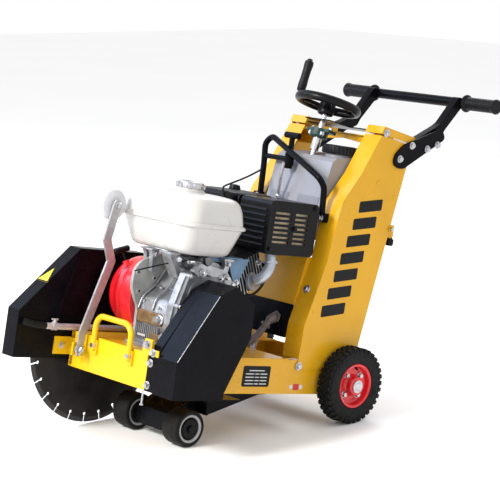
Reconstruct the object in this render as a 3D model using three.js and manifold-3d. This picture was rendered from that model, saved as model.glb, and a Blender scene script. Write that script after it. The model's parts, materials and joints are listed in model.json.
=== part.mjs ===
import * as THREE from "three";
import { mergeVertices } from "three/addons/utils/BufferGeometryUtils.js";
import Module from "manifold-3d";

const wasm = await Module();
wasm.setup();

// ---- Driving dimensions, mm. Saw frame: X forward, Y to the operator's left, Z up, zero on the rear axle.
const REAR_WHEEL_R = 101.6;
const FRONT_WHEEL_R = 47;
const FRONT_AXLE = [470, -133];
const BLADE_R = 200;
const SPINDLE = [548, 13];
const CRANK = [498, 173];
const ARM_PIVOT = [102, -15];
const BED_OUT = 171;
const BED_SHEET = 5;
const BED_TOP = 55;
const BED_BOTTOM = -33.5;
const BED_FRONT = 646;
const BED_REAR = -45;
const DECK_REAR = 205;
const PLATE_FACE = 652;
const DECK_SHEET = 3;
const TOWER_OUT = 174;
const TOWER_SHEET = 2.7;
const FLANGE_IN = 114;
const GAP = 0.3;
const GUARD_NEAR = 246;
const GUARD_INNER = 142;
const BLADE_GUARD_IN = -173;
const BLADE_GUARD_OUT = -220;
const BLADE_Y = -199;
const BLADE_THICK = 3.4;
const BLADE_SEGMENTS = 24;
const SPINDLE_R = 15;
const ARBOR_R = 12.7;
const REAR_AXLE_R = 12;
const REAR_WHEEL_Y = 205;
const FRONT_WHEEL_Y = 99;
const FRONT_AXLE_R = 10;
const PIVOT_BAR_R = 9.5;
const SPINDLE_PULLEY_R = 36;
const ENGINE_PULLEY_R = 45;
const BELT_NEAR = 222;
const BELT_FAR = 180;
const HUB = [30, 0, 722];
const SCREW_LEAN = -Math.atan2(0.21, 0.978);
const SCREW_R = 8;
const HANDWHEEL_R = 82;
const BAR = [-330, 783];
const BAR_HALF = 285;
const GUIDE_PIVOT = [672, 20];
const GUIDE_WHEEL = [644, 391];
const GUIDE_WHEEL_R = 40;
const CENTRE_SHIFT_X = -166.9;

// The machine stands nose-up on its small front wheels.
const PITCH =
  Math.asin((FRONT_WHEEL_R - REAR_WHEEL_R) / Math.hypot(...FRONT_AXLE)) -
  Math.atan2(FRONT_AXLE[1], FRONT_AXLE[0]);

// ---- Paints and metals
const surface = (color, roughness, metalness) => ({ color, roughness, metalness });
const YELLOW = surface(0xf2b705, 0.38, 0.1);
const BLACK = surface(0x17181b, 0.35, 0.1);
const ZINC = surface(0xb9bcc0, 0.35, 0.9);
const STEEL = surface(0x8e9094, 0.4, 0.9);
const CAST = surface(0xb7b5b1, 0.5, 0.75);
const RUBBER = surface(0x1b1b1c, 0.85, 0);
const RED = surface(0xc0161c, 0.35, 0.1);
const PLASTIC = surface(0x1c1d20, 0.5, 0);
const WHITE = surface(0xece9e3, 0.35, 0);
const TANK_GREY = surface(0xb9bcc6, 0.4, 0);

const root = new THREE.Group();
root.name = "concrete_saw";
const saw = new THREE.Group();
saw.name = "saw_frame";
saw.rotation.y = -PITCH;
saw.position.set(CENTRE_SHIFT_X, 0, REAR_WHEEL_R);
root.add(saw);

function group(name) {
  const g = new THREE.Group();
  g.name = name;
  saw.add(g);
  return g;
}

const chassis = group("chassis_parts");
const engine = group("engine_parts");
const gear = group("running_gear");
const cutting = group("cutting_parts");
const controls = group("control_parts");
const water = group("water_parts");

// ---- Solids
function solid(geometry) {
  const bare = geometry.index ? geometry.toNonIndexed() : geometry.clone();
  bare.deleteAttribute("normal");
  bare.deleteAttribute("uv");
  const merged = mergeVertices(bare, 1e-3);
  return new wasm.Manifold(
    new wasm.Mesh({
      numProp: 3,
      vertProperties: merged.attributes.position.array,
      triVerts: new Uint32Array(merged.index.array),
    }),
  );
}

function geometryOf(made) {
  const m = made.getMesh();
  const g = new THREE.BufferGeometry();
  g.setAttribute("position", new THREE.BufferAttribute(new Float32Array(m.vertProperties), 3));
  g.setIndex(new THREE.BufferAttribute(new Uint32Array(m.triVerts), 1));
  return g;
}

const join = (...parts) => parts.reduce((all, p) => all.add(p));
const hull = (...parts) => wasm.Manifold.hull(parts);
const cut = (body, ...tools) => tools.reduce((all, t) => all.subtract(t), body);

function node(name, made, look, parent) {
  const flat = geometryOf(made).toNonIndexed();
  flat.computeVertexNormals();
  const mesh = new THREE.Mesh(flat, new THREE.MeshStandardMaterial({ ...look, flatShading: true }));
  mesh.name = name;
  parent.add(mesh);
  return mesh;
}

function box(x0, x1, y0, y1, z0, z1) {
  const g = new THREE.BoxGeometry(x1 - x0, y1 - y0, z1 - z0);
  return solid(g.translate((x0 + x1) / 2, (y0 + y1) / 2, (z0 + z1) / 2));
}

const shapeOf = (points) => new THREE.Shape(points.map(([a, b]) => new THREE.Vector2(a, b)));

// A side outline [x, z] given a thickness across the machine.
function acrossY(points, y0, y1) {
  const g = new THREE.ExtrudeGeometry(shapeOf(points), { depth: y1 - y0, bevelEnabled: false });
  return solid(g.rotateX(Math.PI / 2).translate(0, y1, 0));
}

// A cross outline [y, z] given a thickness along the machine.
function alongX(points, x0, x1) {
  const g = new THREE.ExtrudeGeometry(shapeOf(points), { depth: x1 - x0, bevelEnabled: false });
  const turn = new THREE.Matrix4().makeBasis(
    new THREE.Vector3(0, 1, 0),
    new THREE.Vector3(0, 0, 1),
    new THREE.Vector3(1, 0, 0),
  );
  return solid(g.applyMatrix4(turn).translate(x0, 0, 0));
}

// A rounded rectangle seen from above, with softened top and bottom edges.
function pillow(x0, x1, y0, y1, z0, z1, corner, edge) {
  const s = new THREE.Shape();
  const [a, b, c, d] = [x0 + edge, x1 - edge, y0 + edge, y1 - edge];
  const r = corner - edge;
  s.moveTo(a + r, c).lineTo(b - r, c).absarc(b - r, c + r, r, -Math.PI / 2, 0);
  s.lineTo(b, d - r).absarc(b - r, d - r, r, 0, Math.PI / 2);
  s.lineTo(a + r, d).absarc(a + r, d - r, r, Math.PI / 2, Math.PI);
  s.lineTo(a, c + r).absarc(a + r, c + r, r, Math.PI, 1.5 * Math.PI);
  const g = new THREE.ExtrudeGeometry(s, {
    depth: z1 - z0 - 2 * edge,
    bevelThickness: edge,
    bevelSize: edge,
    bevelSegments: 2,
    curveSegments: 2,
  });
  return solid(g.translate(0, 0, z0 + edge));
}

// Distances out from the middle, turned into a low-to-high pair on the left (1) or right (-1).
const sided = (side) => (a, b) => (side > 0 ? [a, b] : [-b, -a]);

const UP = new THREE.Vector3(0, 1, 0);

// A solid of revolution: profile [radius, distance along the axis] from a start point.
function turned(profile, start, axis, sides = 20) {
  const area = profile.reduce((sum, [r, h], i) => {
    const [r2, h2] = profile[(i + 1) % profile.length];
    return sum + r * h2 - r2 * h;
  }, 0);
  const ordered = area > 0 ? [...profile] : [...profile].reverse();
  const open = ordered.some(([r]) => r === 0);
  const first = ordered.findIndex(([r], i) => r === 0 && ordered[(i + 1) % ordered.length][0] > 0);
  const ring = open
    ? [...ordered.slice(first), ...ordered.slice(0, first)]
    : [...ordered, ordered[0]];
  const g = new THREE.LatheGeometry(ring.map(([r, h]) => new THREE.Vector2(r, h)), sides);
  const q = new THREE.Quaternion().setFromUnitVectors(UP, new THREE.Vector3(...axis).normalize());
  return solid(g.applyQuaternion(q).translate(...start));
}

// A round bar between two points.
function rod(a, b, radius, sides = 16) {
  const from = new THREE.Vector3(...a);
  const axis = new THREE.Vector3(...b).sub(from);
  const h = axis.length();
  return turned([[0, 0], [radius, 0], [radius, h], [0, h]], a, axis.toArray(), sides);
}

// A bar or bore across the machine, centred on [x, z].
const across = ([x, z], y0, y1, radius, sides = 20) => rod([x, y0, z], [x, y1, z], radius, sides);

// A tube bent along its points.
function bent(points, radius, steps = 24, arcs = 4, tension = 0.25) {
  const curve = new THREE.CatmullRomCurve3(
    points.map((p) => new THREE.Vector3(...p)), false, "catmullrom", tension,
  );
  const circle = new THREE.Shape();
  circle.absarc(0, 0, radius, 0, 2 * Math.PI);
  const g = new THREE.ExtrudeGeometry(circle, { steps, curveSegments: arcs, extrudePath: curve });
  return solid(g);
}

// The outline of a belt run round two discs of the given radii.
function loop([ax, az], ar, [bx, bz], br, steps = 16) {
  const lean = Math.atan2(bz - az, bx - ax);
  const open = Math.acos((ar - br) / Math.hypot(bx - ax, bz - az));
  const points = [];
  for (let i = 0; i <= steps; i++) {
    const t = lean + open + (i / steps) * (2 * Math.PI - 2 * open);
    points.push([ax + ar * Math.cos(t), az + ar * Math.sin(t)]);
  }
  for (let i = 0; i <= steps; i++) {
    const t = lean - open + (i / steps) * 2 * open;
    points.push([bx + br * Math.cos(t), bz + br * Math.sin(t)]);
  }
  return points;
}

// ---- Bed: two side rails, deck, cross-members and the swing arm's pivot bar
function rail(side) {
  const web = [BED_OUT - BED_SHEET, BED_OUT];
  const lip = [BED_OUT - 30, BED_OUT - 1];
  const span = sided(side);
  return join(
    box(BED_REAR, BED_FRONT, ...span(...web), BED_BOTTOM, BED_TOP),
    box(BED_REAR, BED_FRONT, ...span(...lip), BED_BOTTOM, BED_BOTTOM + BED_SHEET),
    box(BED_REAR, BED_FRONT, ...span(...lip), BED_TOP - BED_SHEET, BED_TOP),
  );
}

const inner = BED_OUT - 1;
const bed = join(
  rail(1),
  rail(-1),
  box(DECK_REAR, BED_FRONT, -inner, inner, BED_TOP - 1, BED_TOP + DECK_SHEET),
  box(BED_REAR, BED_REAR + BED_SHEET, -inner, inner, BED_BOTTOM, BED_TOP),
  across(ARM_PIVOT, -inner, inner, PIVOT_BAR_R),
);
node(
  "main_frame",
  cut(bed, across([0, 0], -180, 180, REAR_AXLE_R + GAP), across(SPINDLE, -180, 180, 26)),
  YELLOW,
  chassis,
);

const plateBack = BED_FRONT + GAP;
const frontPlate = join(
  box(plateBack, PLATE_FACE, -150, GUARD_INNER - 1, -32, BED_TOP + DECK_SHEET),
  box(PLATE_FACE - 1, PLATE_FACE + 3.3, 118, GUARD_INNER - 1, 40, 70),
  box(PLATE_FACE + GAP, PLATE_FACE + 3.3, 130, 179, 54, 70),
  box(plateBack, PLATE_FACE, -169, -149, -5, 40),
  box(plateBack, 700, BLADE_GUARD_IN + GAP, BLADE_GUARD_IN + 5, -5, 40),
  box(PLATE_FACE - 1, GUIDE_PIVOT[0] + 14, -116, -110, GUIDE_PIVOT[1] - 16, GUIDE_PIVOT[1] + 16),
  across(GUIDE_PIVOT, -112, -90, 6),
);
node("front_plate", frontPlate, YELLOW, chassis);

const HANDLE_ROD_R = 7.5;
const handleX = PLATE_FACE + GAP + HANDLE_ROD_R;
node(
  "tow_handle",
  bent(
    [
      [handleX, 75, 14], [handleX, 75, 60], [handleX, 74, 95], [handleX, 58, 112],
      [handleX, 30, 114], [handleX, -30, 114], [handleX, -52, 112], [handleX, -63, 95],
      [handleX, -64, 60], [handleX, -64, 14],
    ],
    HANDLE_ROD_R,
    36,
  ),
  YELLOW,
  chassis,
);

// ---- Tower: two channels with turned-in front flanges
const TOWER_FRONT = [
  [175, 34], [171, 147], [121, 321], [116, 378], [99, 475], [46, 551], [-10, 660],
];
const TOWER_REAR = [[-140, 644], [-124, 580], [-111, 497], [-84, 333], [-43, 100], [-43, 32]];

function tower(side) {
  const span = sided(side);
  const back = TOWER_FRONT.map(([x, z]) => [x - 3, z]).reverse();
  const flange = [...TOWER_FRONT, ...back];
  return join(
    acrossY([...TOWER_FRONT, ...TOWER_REAR], ...span(TOWER_OUT - TOWER_SHEET, TOWER_OUT)),
    cut(
      acrossY(flange, ...span(FLANGE_IN, TOWER_OUT - 1)),
      box(100, 190, ...span(100, BED_OUT + GAP), 0, BED_TOP + DECK_SHEET + GAP),
    ),
  );
}
node("tower_left", tower(1), YELLOW, chassis);
node("tower_right", tower(-1), YELLOW, chassis);

const panelHalf = TOWER_OUT - TOWER_SHEET - GAP;
const COVER_HALF = FLANGE_IN - GAP;
node(
  "tower_panel",
  acrossY([[104, 300], [100.5, 300], [119, 196], [90, 196], [90, 193], [122, 193]],
    -panelHalf, panelHalf),
  YELLOW,
  chassis,
);

// A folded sheet: its front profile across the machine, with a return at each side.
function cover(front, side) {
  return join(
    acrossY(front, -COVER_HALF, COVER_HALF),
    acrossY(side, -COVER_HALF, -COVER_HALF + DECK_SHEET),
    acrossY(side, COVER_HALF - DECK_SHEET, COVER_HALF),
  );
}
node(
  "screw_cover",
  cover(
    [[137, 318], [133.5, 318], [157, 191], [160.5, 191]],
    [[137, 318], [103, 318], [106, 303], [124, 191], [160.5, 191]],
  ),
  YELLOW,
  chassis,
);
node(
  "lower_panel",
  cover(
    [[177, 104], [180, 104], [164, 190], [161, 190]],
    [[128, 104], [180, 104], [164, 190], [128, 190]],
  ),
  BLACK,
  chassis,
);

// Cap pieces on both channels, tied by a rear sheet with an arched lower edge.
const CAP = [[-8, 665], [-17, 685], [-142, 668], [-139, 648.5]];
const arch = [
  [-panelHalf, 612], [-120, 612], [-80, 632], [0, 640], [80, 632], [120, 612],
  [panelHalf, 612], [panelHalf, 655], [-panelHalf, 655],
];
node(
  "top_cover",
  join(
    acrossY(CAP, FLANGE_IN, TOWER_OUT),
    acrossY(CAP, -TOWER_OUT, -FLANGE_IN),
    alongX(arch, -52, -49),
    box(-52, -40, -panelHalf, panelHalf, 652, 655),
    box(-60, -40, FLANGE_IN + 4, panelHalf, 640, 665),
    box(-60, -40, -panelHalf, -FLANGE_IN - 4, 640, 665),
  ),
  YELLOW,
  chassis,
);

const tilted = new THREE.Group();
tilted.name = "screw_line";
tilted.position.set(...HUB);
tilted.rotation.y = SCREW_LEAN;
controls.add(tilted);

const TONGUE_HALF = 46;
const screwHole = rod([HUB[0], 0, HUB[2]], [HUB[0] + 210, 0, HUB[2] - 978], 13);
node(
  "dash_plate",
  cut(
    join(
      acrossY([[-18, 669], [-18, 672], [-60, 667], [-60, 664]], -COVER_HALF, COVER_HALF),
      acrossY([[62, 678.3], [62, 681.3], [-20, 671.7], [-20, 668.7]], -TONGUE_HALF, TONGUE_HALF),
    ),
    screwHole,
  ),
  BLACK,
  chassis,
);

node(
  "bearing_block",
  cut(
    join(
      turned([[0, -94], [23, -94], [25, -90], [25, -70], [0, -70]], [0, 0, 0], [0, 0, 1]),
      box(-20, 10, -42, 42, -78, -70),
    ),
    rod([0, 0, -100], [0, 0, 0], SCREW_R + GAP),
  ),
  surface(0x1d3b2c, 0.5, 0.1),
  tilted,
);

// A bent tube between the two front flanges; a cross-rod on it carries the clamp screw's boss.
const HOOP_R = 8.3;
const HOOP = [
  [121, 128, 430], [124, 128, 470], [128, 128, 506], [139, 120, 525], [133, 60, 548],
  [124, -60, 597], [119, -100, 615], [124, -116, 605], [126, -118, 580],
  [120, -118, 545], [114, -120, 505], [114, -122, 455],
];
const CLAMP_AT = [116, -28];
const CLAMP_R = 8;
node(
  "lifting_hoop",
  cut(
    join(
      bent(HOOP, HOOP_R, 44),
      rod([121, -118, 562], [117, -30, 562], 7),
      rod([...CLAMP_AT, 545], [...CLAMP_AT, 579], 13),
      rod([110, 128, 432], [124, 128, 434], 13),
      rod([105.5, -122, 458], [116, -122, 458], 12),
    ),
    rod([...CLAMP_AT, 500], [...CLAMP_AT, 640], CLAMP_R + GAP),
  ),
  BLACK,
  chassis,
);

node(
  "clamp_handle",
  join(
    rod([...CLAMP_AT, 538], [...CLAMP_AT, 628], CLAMP_R),
    rod([CLAMP_AT[0], -56, 626], [CLAMP_AT[0], 0, 626], 8.5),
    rod([...CLAMP_AT, 538], [...CLAMP_AT, 544.5], 11),
  ),
  BLACK,
  controls,
);

// ---- Guards
const BELT_GUARD = [
  [PLATE_FACE, -33], [PLATE_FACE, 55], [545, 220], [495, 245], [427, 201], [424, 121], [448, 71],
  [488, -18], [488, -33],
];
const beltGuardInside = [
  [649, -30], [649, 54], [543, 217], [495, 241.5], [430, 199], [427, 122], [451, 72],
  [491, -17], [491, -30],
];
const backPlate = BED_OUT + GAP;
node(
  "belt_guard",
  cut(
    join(
      cut(
        acrossY(BELT_GUARD, backPlate, GUARD_NEAR),
        acrossY(beltGuardInside, backPlate + 3, GUARD_NEAR - 3),
      ),
      cut(
        acrossY([[PLATE_FACE, 58.5], [PLATE_FACE, 60], [545, 220], [495, 245], [427, 201], [424, 121],
          [448, 71], [455, 58.5]], GUARD_INNER, backPlate + 1),
        acrossY([[649, 40], [649, 60], [543, 217], [495, 241.5], [430, 199], [427, 122],
          [451, 72], [460, 40]], GUARD_INNER - 1, backPlate + 2),
      ),
      box(PLATE_FACE - 3, PLATE_FACE, GUARD_INNER, backPlate + 1, -33, 60),
    ),
    across(SPINDLE, 160, 180, 24),
    across(CRANK, 130, 180, 40),
  ),
  BLACK,
  chassis,
);

const BLADE_GUARD = [[819, -17], [819, 102], [654, 266], [442, 266], [277, 104], [277, -17]];
const bladeGuardInside = [[816, -30], [816, 101], [653, 263], [443, 263], [280, 103], [280, -30]];
node(
  "blade_guard",
  cut(
    acrossY(BLADE_GUARD, BLADE_GUARD_OUT, BLADE_GUARD_IN),
    acrossY(bladeGuardInside, BLADE_GUARD_OUT + 3, BLADE_GUARD_IN - 3),
    across(SPINDLE, -185, -165, 27),
  ),
  BLACK,
  chassis,
);

// ---- Blade drive
function bladeOutline() {
  const points = [];
  const pitch = (2 * Math.PI) / BLADE_SEGMENTS;
  const at = (r, t) => points.push([SPINDLE[0] + r * Math.cos(t), SPINDLE[1] + r * Math.sin(t)]);
  for (let i = 0; i < BLADE_SEGMENTS; i++) {
    const t = i * pitch;
    for (let k = 0; k <= 3; k++) at(BLADE_R, t + 0.0085 + (k / 3) * (pitch - 0.017));
    at(183, t + pitch - 0.0085);
    at(180, t + pitch - 0.022);
    at(176, t + pitch - 0.022);
    at(173, t + pitch);
    at(176, t + pitch + 0.022);
    at(180, t + pitch + 0.022);
    at(183, t + pitch + 0.0085);
  }
  return points;
}
const bladeNear = BLADE_Y + BLADE_THICK / 2;
const bladeFar = BLADE_Y - BLADE_THICK / 2;
node(
  "blade",
  cut(acrossY(bladeOutline(), bladeFar, bladeNear), across(SPINDLE, -210, -190, ARBOR_R + GAP)),
  STEEL,
  cutting,
);
node(
  "blade_spindle",
  join(
    across(SPINDLE, bladeNear + GAP, 224, SPINDLE_R, 20),
    across(SPINDLE, bladeNear + GAP, -186, 50, 32),
    across(SPINDLE, -215, bladeNear + 1, ARBOR_R, 20),
  ),
  STEEL,
  cutting,
);
node(
  "arbor_flange",
  cut(
    join(
      across(SPINDLE, -207, bladeFar - GAP, 50, 32),
      across(SPINDLE, -216, -206, 21, 6),
    ),
    across(SPINDLE, -220, -190, ARBOR_R + GAP),
  ),
  STEEL,
  cutting,
);
function bearing(side) {
  const span = sided(side);
  const [x, z] = SPINDLE;
  return cut(
    join(
      across(SPINDLE, ...span(138, 165.7), 30),
      box(x - 38, x + 38, ...span(155, 165.7), z - 38, z + 36),
    ),
    across(SPINDLE, ...span(130, 170), SPINDLE_R + GAP),
  );
}
node("spindle_bearing_left", bearing(1), CAST, cutting);
node("spindle_bearing_right", bearing(-1), CAST, cutting);

function grooved(radius, y0, y1) {
  const groove = 4;
  const depth = 8;
  const step = (y1 - y0) / 3;
  const profile = [[0, 0]];
  for (let i = 0; i < 3; i++) {
    profile.push([radius, i * step], [radius, i * step + groove / 2]);
    profile.push([radius - depth, i * step + step / 2]);
    profile.push([radius, (i + 1) * step - groove / 2]);
  }
  profile.push([radius, y1 - y0], [0, y1 - y0]);
  return profile;
}
const beltGap = 1.2;
node(
  "spindle_pulley",
  cut(
    turned(grooved(SPINDLE_PULLEY_R, BELT_FAR, BELT_NEAR), [SPINDLE[0], BELT_FAR, SPINDLE[1]], [0, 1, 0]),
    across(SPINDLE, 170, 230, SPINDLE_R + GAP),
  ),
  STEEL,
  cutting,
);
node(
  "engine_pulley",
  join(
    turned(grooved(ENGINE_PULLEY_R, BELT_FAR, BELT_NEAR), [CRANK[0], BELT_FAR, CRANK[1]], [0, 1, 0]),
    across(CRANK, GUARD_INNER + 2, BELT_NEAR + 6, 12.7),
  ),
  STEEL,
  cutting,
);
node(
  "v_belts",
  cut(
    acrossY(loop(CRANK, ENGINE_PULLEY_R + 5, SPINDLE, SPINDLE_PULLEY_R + 5), BELT_FAR, BELT_NEAR),
    acrossY(loop(CRANK, ENGINE_PULLEY_R + beltGap, SPINDLE, SPINDLE_PULLEY_R + beltGap),
      BELT_FAR - 1, BELT_NEAR + 1),
  ),
  RUBBER,
  cutting,
);

// ---- Engine
const seat = BED_TOP + DECK_SHEET + GAP;
const CASE = [
  [392, seat], [604, seat], [604, seat + 14], [590, 84], [612, 128], [606, 180], [570, 250],
  [520, 284], [440, 286], [398, 262], [404, 190], [386, 150], [392, 84], [380, seat + 14],
  [380, seat],
];
node(
  "crankcase",
  join(
    acrossY(CASE, -4, 128),
    acrossY([[420, 70], [580, 70], [596, 128], [590, 180], [556, 240], [450, 246], [410, 190],
      [400, 130]], 127, 138),
    across(CRANK, 137, GUARD_INNER, 36),
    across([452, 262], 127, 136, 14, 14),
    across([545, 92], 127, 140, 12, 14),
  ),
  CAST,
  engine,
);

const CYL_LEAN = Math.atan2(117, -248);
const cylinder = new THREE.Group();
cylinder.name = "cylinder_line";
cylinder.position.set(CRANK[0], 10, CRANK[1]);
cylinder.rotation.y = -CYL_LEAN;
engine.add(cylinder);
const FIN_COUNT = 10;
const FIRST_FIN = 131;
const FIN_PITCH = 12.5;
const FIN_THICK = 4;
const fins = [];
for (let i = 0; i < FIN_COUNT; i++) {
  const t = FIRST_FIN + i * FIN_PITCH;
  fins.push(box(t, t + FIN_THICK, -72, 82, -44, 44));
}
node(
  "cylinder",
  join(box(128, 254, -52, 62, -34, 34), ...fins),
  CAST,
  cylinder,
);
node(
  "rocker_cover",
  join(box(254.3, 262, -52, 62, -38, 38), pillow(261, 292, -56, 6, -34, 32, 14, 6)),
  CAST,
  cylinder,
);

const fanStart = [CRANK[0], -5, CRANK[1]];
node(
  "fan_cover",
  join(
    turned([[0, 0.8], [112, 0.8], [112, 46], [98, 64], [78, 70], [0, 70]], fanStart, [0, -1, 0], 28),
    acrossY([[400, 190], [470, 270], [430, 292], [352, 270], [372, 215]], -74.6, -63),
  ),
  RED,
  engine,
);
const recoilStart = [CRANK[0], -75, CRANK[1]];
const PULL = [0.25, -0.43, 0.8675];
const CORD_EXIT = [548, -104, 228];
const cord = (t) => CORD_EXIT.map((v, i) => v + PULL[i] * t);
const gripEnd = (t) => [cord(54)[0] + 0.961 * t, cord(54)[1], cord(54)[2] - 0.277 * t];
node(
  "recoil_starter",
  cut(
    join(
      turned(
        [[0, GAP], [92, GAP], [92, 40], [80, 58], [48, 60], [40, 72], [0, 74]],
        recoilStart,
        [0, -1, 0],
        28,
      ),
      rod(cord(5), cord(42), 9, 14),
    ),
    rod(cord(2), cord(60), 3, 10),
  ),
  RED,
  engine,
);
node(
  "starter_grip",
  join(
    rod(gripEnd(-24), gripEnd(24), 8, 14),
    rod(cord(8), cord(54), 2.2, 8),
  ),
  RUBBER,
  engine,
);

const tankSeam = pillow(391, 604, -127, 163, 373, 380, 46, 2);
const tankLower = hull(
  pillow(398, 597, -120, 156, 366, 376, 42, 2),
  pillow(418, 577, -100, 136, 300, 322, 34, 9),
);
const tankUpper = hull(
  pillow(396, 600, -122, 158, 377, 384, 44, 2),
  pillow(402, 594, -116, 152, 404, 438, 44, 12),
  pillow(424, 572, -94, 130, 440, 450, 36, 4),
);
node(
  "fuel_tank",
  join(
    tankSeam,
    tankLower,
    tankUpper,
    turned([[0, -2], [34, -2], [34, 10], [0, 10]], [500, 30, 449], [0, 0, 1], 24),
  ),
  WHITE,
  engine,
);
const capProfile = [
  [36.5, -9.5], [37.5, 2], [35, 12], [26, 16], [0, 17.5], [0, 10.8], [34.3, 10.8], [34.3, -9.5],
];
node("fuel_cap", turned(capProfile, [500, 30, 460], [0, 0, 1], 24), BLACK, engine);

node(
  "tank_bracket",
  join(
    acrossY([[404, 292], [330, 299.5], [362, 232], [372, 232]], 98, 102),
    box(352, 460, 60, 102, 296, 299.5),
    box(400, 470, 60, 102, 286.3, 299.5),
  ),
  surface(0x64748a, 0.45, 0.3),
  engine,
);

node(
  "air_cleaner",
  join(
    pillow(168, 346, -146, 4, 372, 460, 26, 10),
    pillow(180, 334, -136, -6, 340, 380, 20, 6),
    box(300, 336, -70, -20, 326, 350),
  ),
  PLASTIC,
  engine,
);
node(
  "muffler",
  join(
    pillow(172, 312, 34, 136, 334, 446, 30, 10),
    bent([[284, 112, 345], [276, 122, 318], [280, 128, 290], [292, 122, 262], [300, 104, 248]], 14, 14),
  ),
  CAST,
  engine,
);
const FIRST_SLOT = 350;
const SLOT_PITCH = 12.3;
const SLOT_HEIGHT = 5.5;
const SLOT_ROWS = 7;
const slots = [];
for (let row = 0; row < SLOT_ROWS; row++) {
  const z = FIRST_SLOT + row * SLOT_PITCH;
  slots.push(
    box(189, 236, 140, 152, z, z + SLOT_HEIGHT),
    box(250, 308, 140, 152, z, z + SLOT_HEIGHT),
  );
}
node(
  "muffler_guard",
  cut(
    pillow(155, 328, 22, 149, 321, 458, 14, 5),
    pillow(158.5, 324.5, 10, 145.5, 324.5, 454.5, 12, 4),
    box(255, 308, 90, 140, 315, 330),
    ...slots,
  ),
  BLACK,
  engine,
);

// ---- Running gear
node("rear_axle", across([0, 0], -236, 236, REAR_AXLE_R), ZINC, gear);

const RIM = [
  [12.3, -28], [26, -28], [26, -12], [48, -12], [50, -22], [59, -24], [59, 24], [50, 22],
  [44, 6], [26, 6], [26, 28], [12.3, 28],
];
const TYRE = [
  [59.3, -21], [68, -23.5], [84, -24.5], [95, -21], [101, -13], [REAR_WHEEL_R, 0], [101, 13], [95, 21],
  [84, 24.5], [68, 23.5], [59.3, 21],
];
const scaled = (profile, side) => profile.map(([r, h]) => [r, h * side]);
for (const [name, side] of [["left", 1], ["right", -1]]) {
  const centre = [0, side * REAR_WHEEL_Y, 0];
  node("rear_rim_" + name, turned(scaled(RIM, side), centre, [0, 1, 0], 24), RED, gear);
  node("rear_tyre_" + name, turned(TYRE, centre, [0, 1, 0], 36), RUBBER, gear);
}

const FRONT_WHEEL = [
  [10.3, -29], [26, -29], [26, -25], [33, -25], [34, -29], [43, -29], [47, -25], [47, 25],
  [43, 29], [34, 29], [33, 25], [26, 25], [26, 29], [10.3, 29],
];
for (const [name, side] of [["left", 1], ["right", -1]]) {
  const centre = [FRONT_AXLE[0], side * FRONT_WHEEL_Y, FRONT_AXLE[1]];
  node("front_wheel_" + name, turned(FRONT_WHEEL, centre, [0, 1, 0], 24), RUBBER, gear);
}

function armPlate(side) {
  const span = sided(side);
  return acrossY(
    [[84, -34], [110, -42], [231, -50], [402, -104], [402, -60], [230, -14], [118, 4], [92, 4]],
    ...span(96, 104),
  );
}
const lever = (y0, y1) => acrossY([[96, -36], [200, -14], [206, 16], [180, 24], [92, 4]], y0, y1);
const trunnionSlot = () =>
  acrossY([[176, -3], [181, -8], [192, -7], [197, -2], [196, 9], [190, 13], [180, 12], [175, 7]], -40, 40);
node(
  "swing_arm",
  cut(
    join(
      across(ARM_PIVOT, -130, 130, 19),
      armPlate(1),
      armPlate(-1),
      box(396, 404, -104, 104, -104, -60),
      acrossY([[403, -104], [403, -62], [424, -70], [488, -110], [488, -156], [452, -156]], -64, 64),
      across(FRONT_AXLE, -133, 133, FRONT_AXLE_R),
      lever(20, 28),
      lever(-28, -20),
    ),
    across(ARM_PIVOT, -140, 140, PIVOT_BAR_R + GAP),
    trunnionSlot(),
  ),
  BLACK,
  gear,
);

// ---- Depth control on the leaning screw line
const SPOKES = [0, 1, 2].map((i) => {
  const spoke = new THREE.BoxGeometry(66, 20, 9);
  spoke.translate(47, 0, -4).rotateZ((i * 2 * Math.PI) / 3 + Math.PI / 4);
  return solid(spoke);
});
const RIM_HALF_WIDTH = 10;
const RIM_HALF_DEPTH = 12;
const rimRing = [];
for (let k = 0; k < 8; k++) {
  const t = (k / 8) * 2 * Math.PI;
  rimRing.push([HANDWHEEL_R + RIM_HALF_WIDTH * Math.cos(t), RIM_HALF_DEPTH * Math.sin(t)]);
}
const GRIP_AT = [57.3, -57.3];
const BUTTON_AT = [-58, -57];
const gripPin = join(
  rod([...GRIP_AT, 6], [...GRIP_AT, 104], 4, 12),
  rod([...GRIP_AT, 99.6], [...GRIP_AT, 104], 7, 12),
);
node(
  "handwheel",
  cut(
    join(
      turned(rimRing, [0, 0, 0], [0, 0, 1], 36),
      ...SPOKES,
      rod([0, 0, -30], [0, 0, 8], 21, 24),
      gripPin,
      rod([...BUTTON_AT, 6], [...BUTTON_AT, 20], 8, 14),
    ),
    rod([0, 0, -40], [0, 0, 20], SCREW_R + GAP),
  ),
  BLACK,
  tilted,
);
node(
  "crank_grip",
  turned([[4.3, 12.3], [10, 12.3], [11.5, 30], [11, 70], [12.5, 92], [10, 99], [4.3, 99]],
    [...GRIP_AT, 0], [0, 0, 1], 20),
  PLASTIC,
  tilted,
);
node(
  "lift_screw",
  join(rod([0, 0, -758], [0, 0, 16], SCREW_R), rod([0, 0, 8.5], [0, 0, 16], 13, 6)),
  ZINC,
  tilted,
);
const nutAt = -735.4;
node(
  "lift_nut",
  cut(
    join(
      box(-15, 15, -19, 19, nutAt - 16, nutAt + 16),
      rod([0, -30, nutAt], [0, 30, nutAt], 6, 16),
    ),
    rod([0, 0, nutAt - 30], [0, 0, nutAt + 30], SCREW_R + GAP),
  ),
  STEEL,
  tilted,
);

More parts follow.
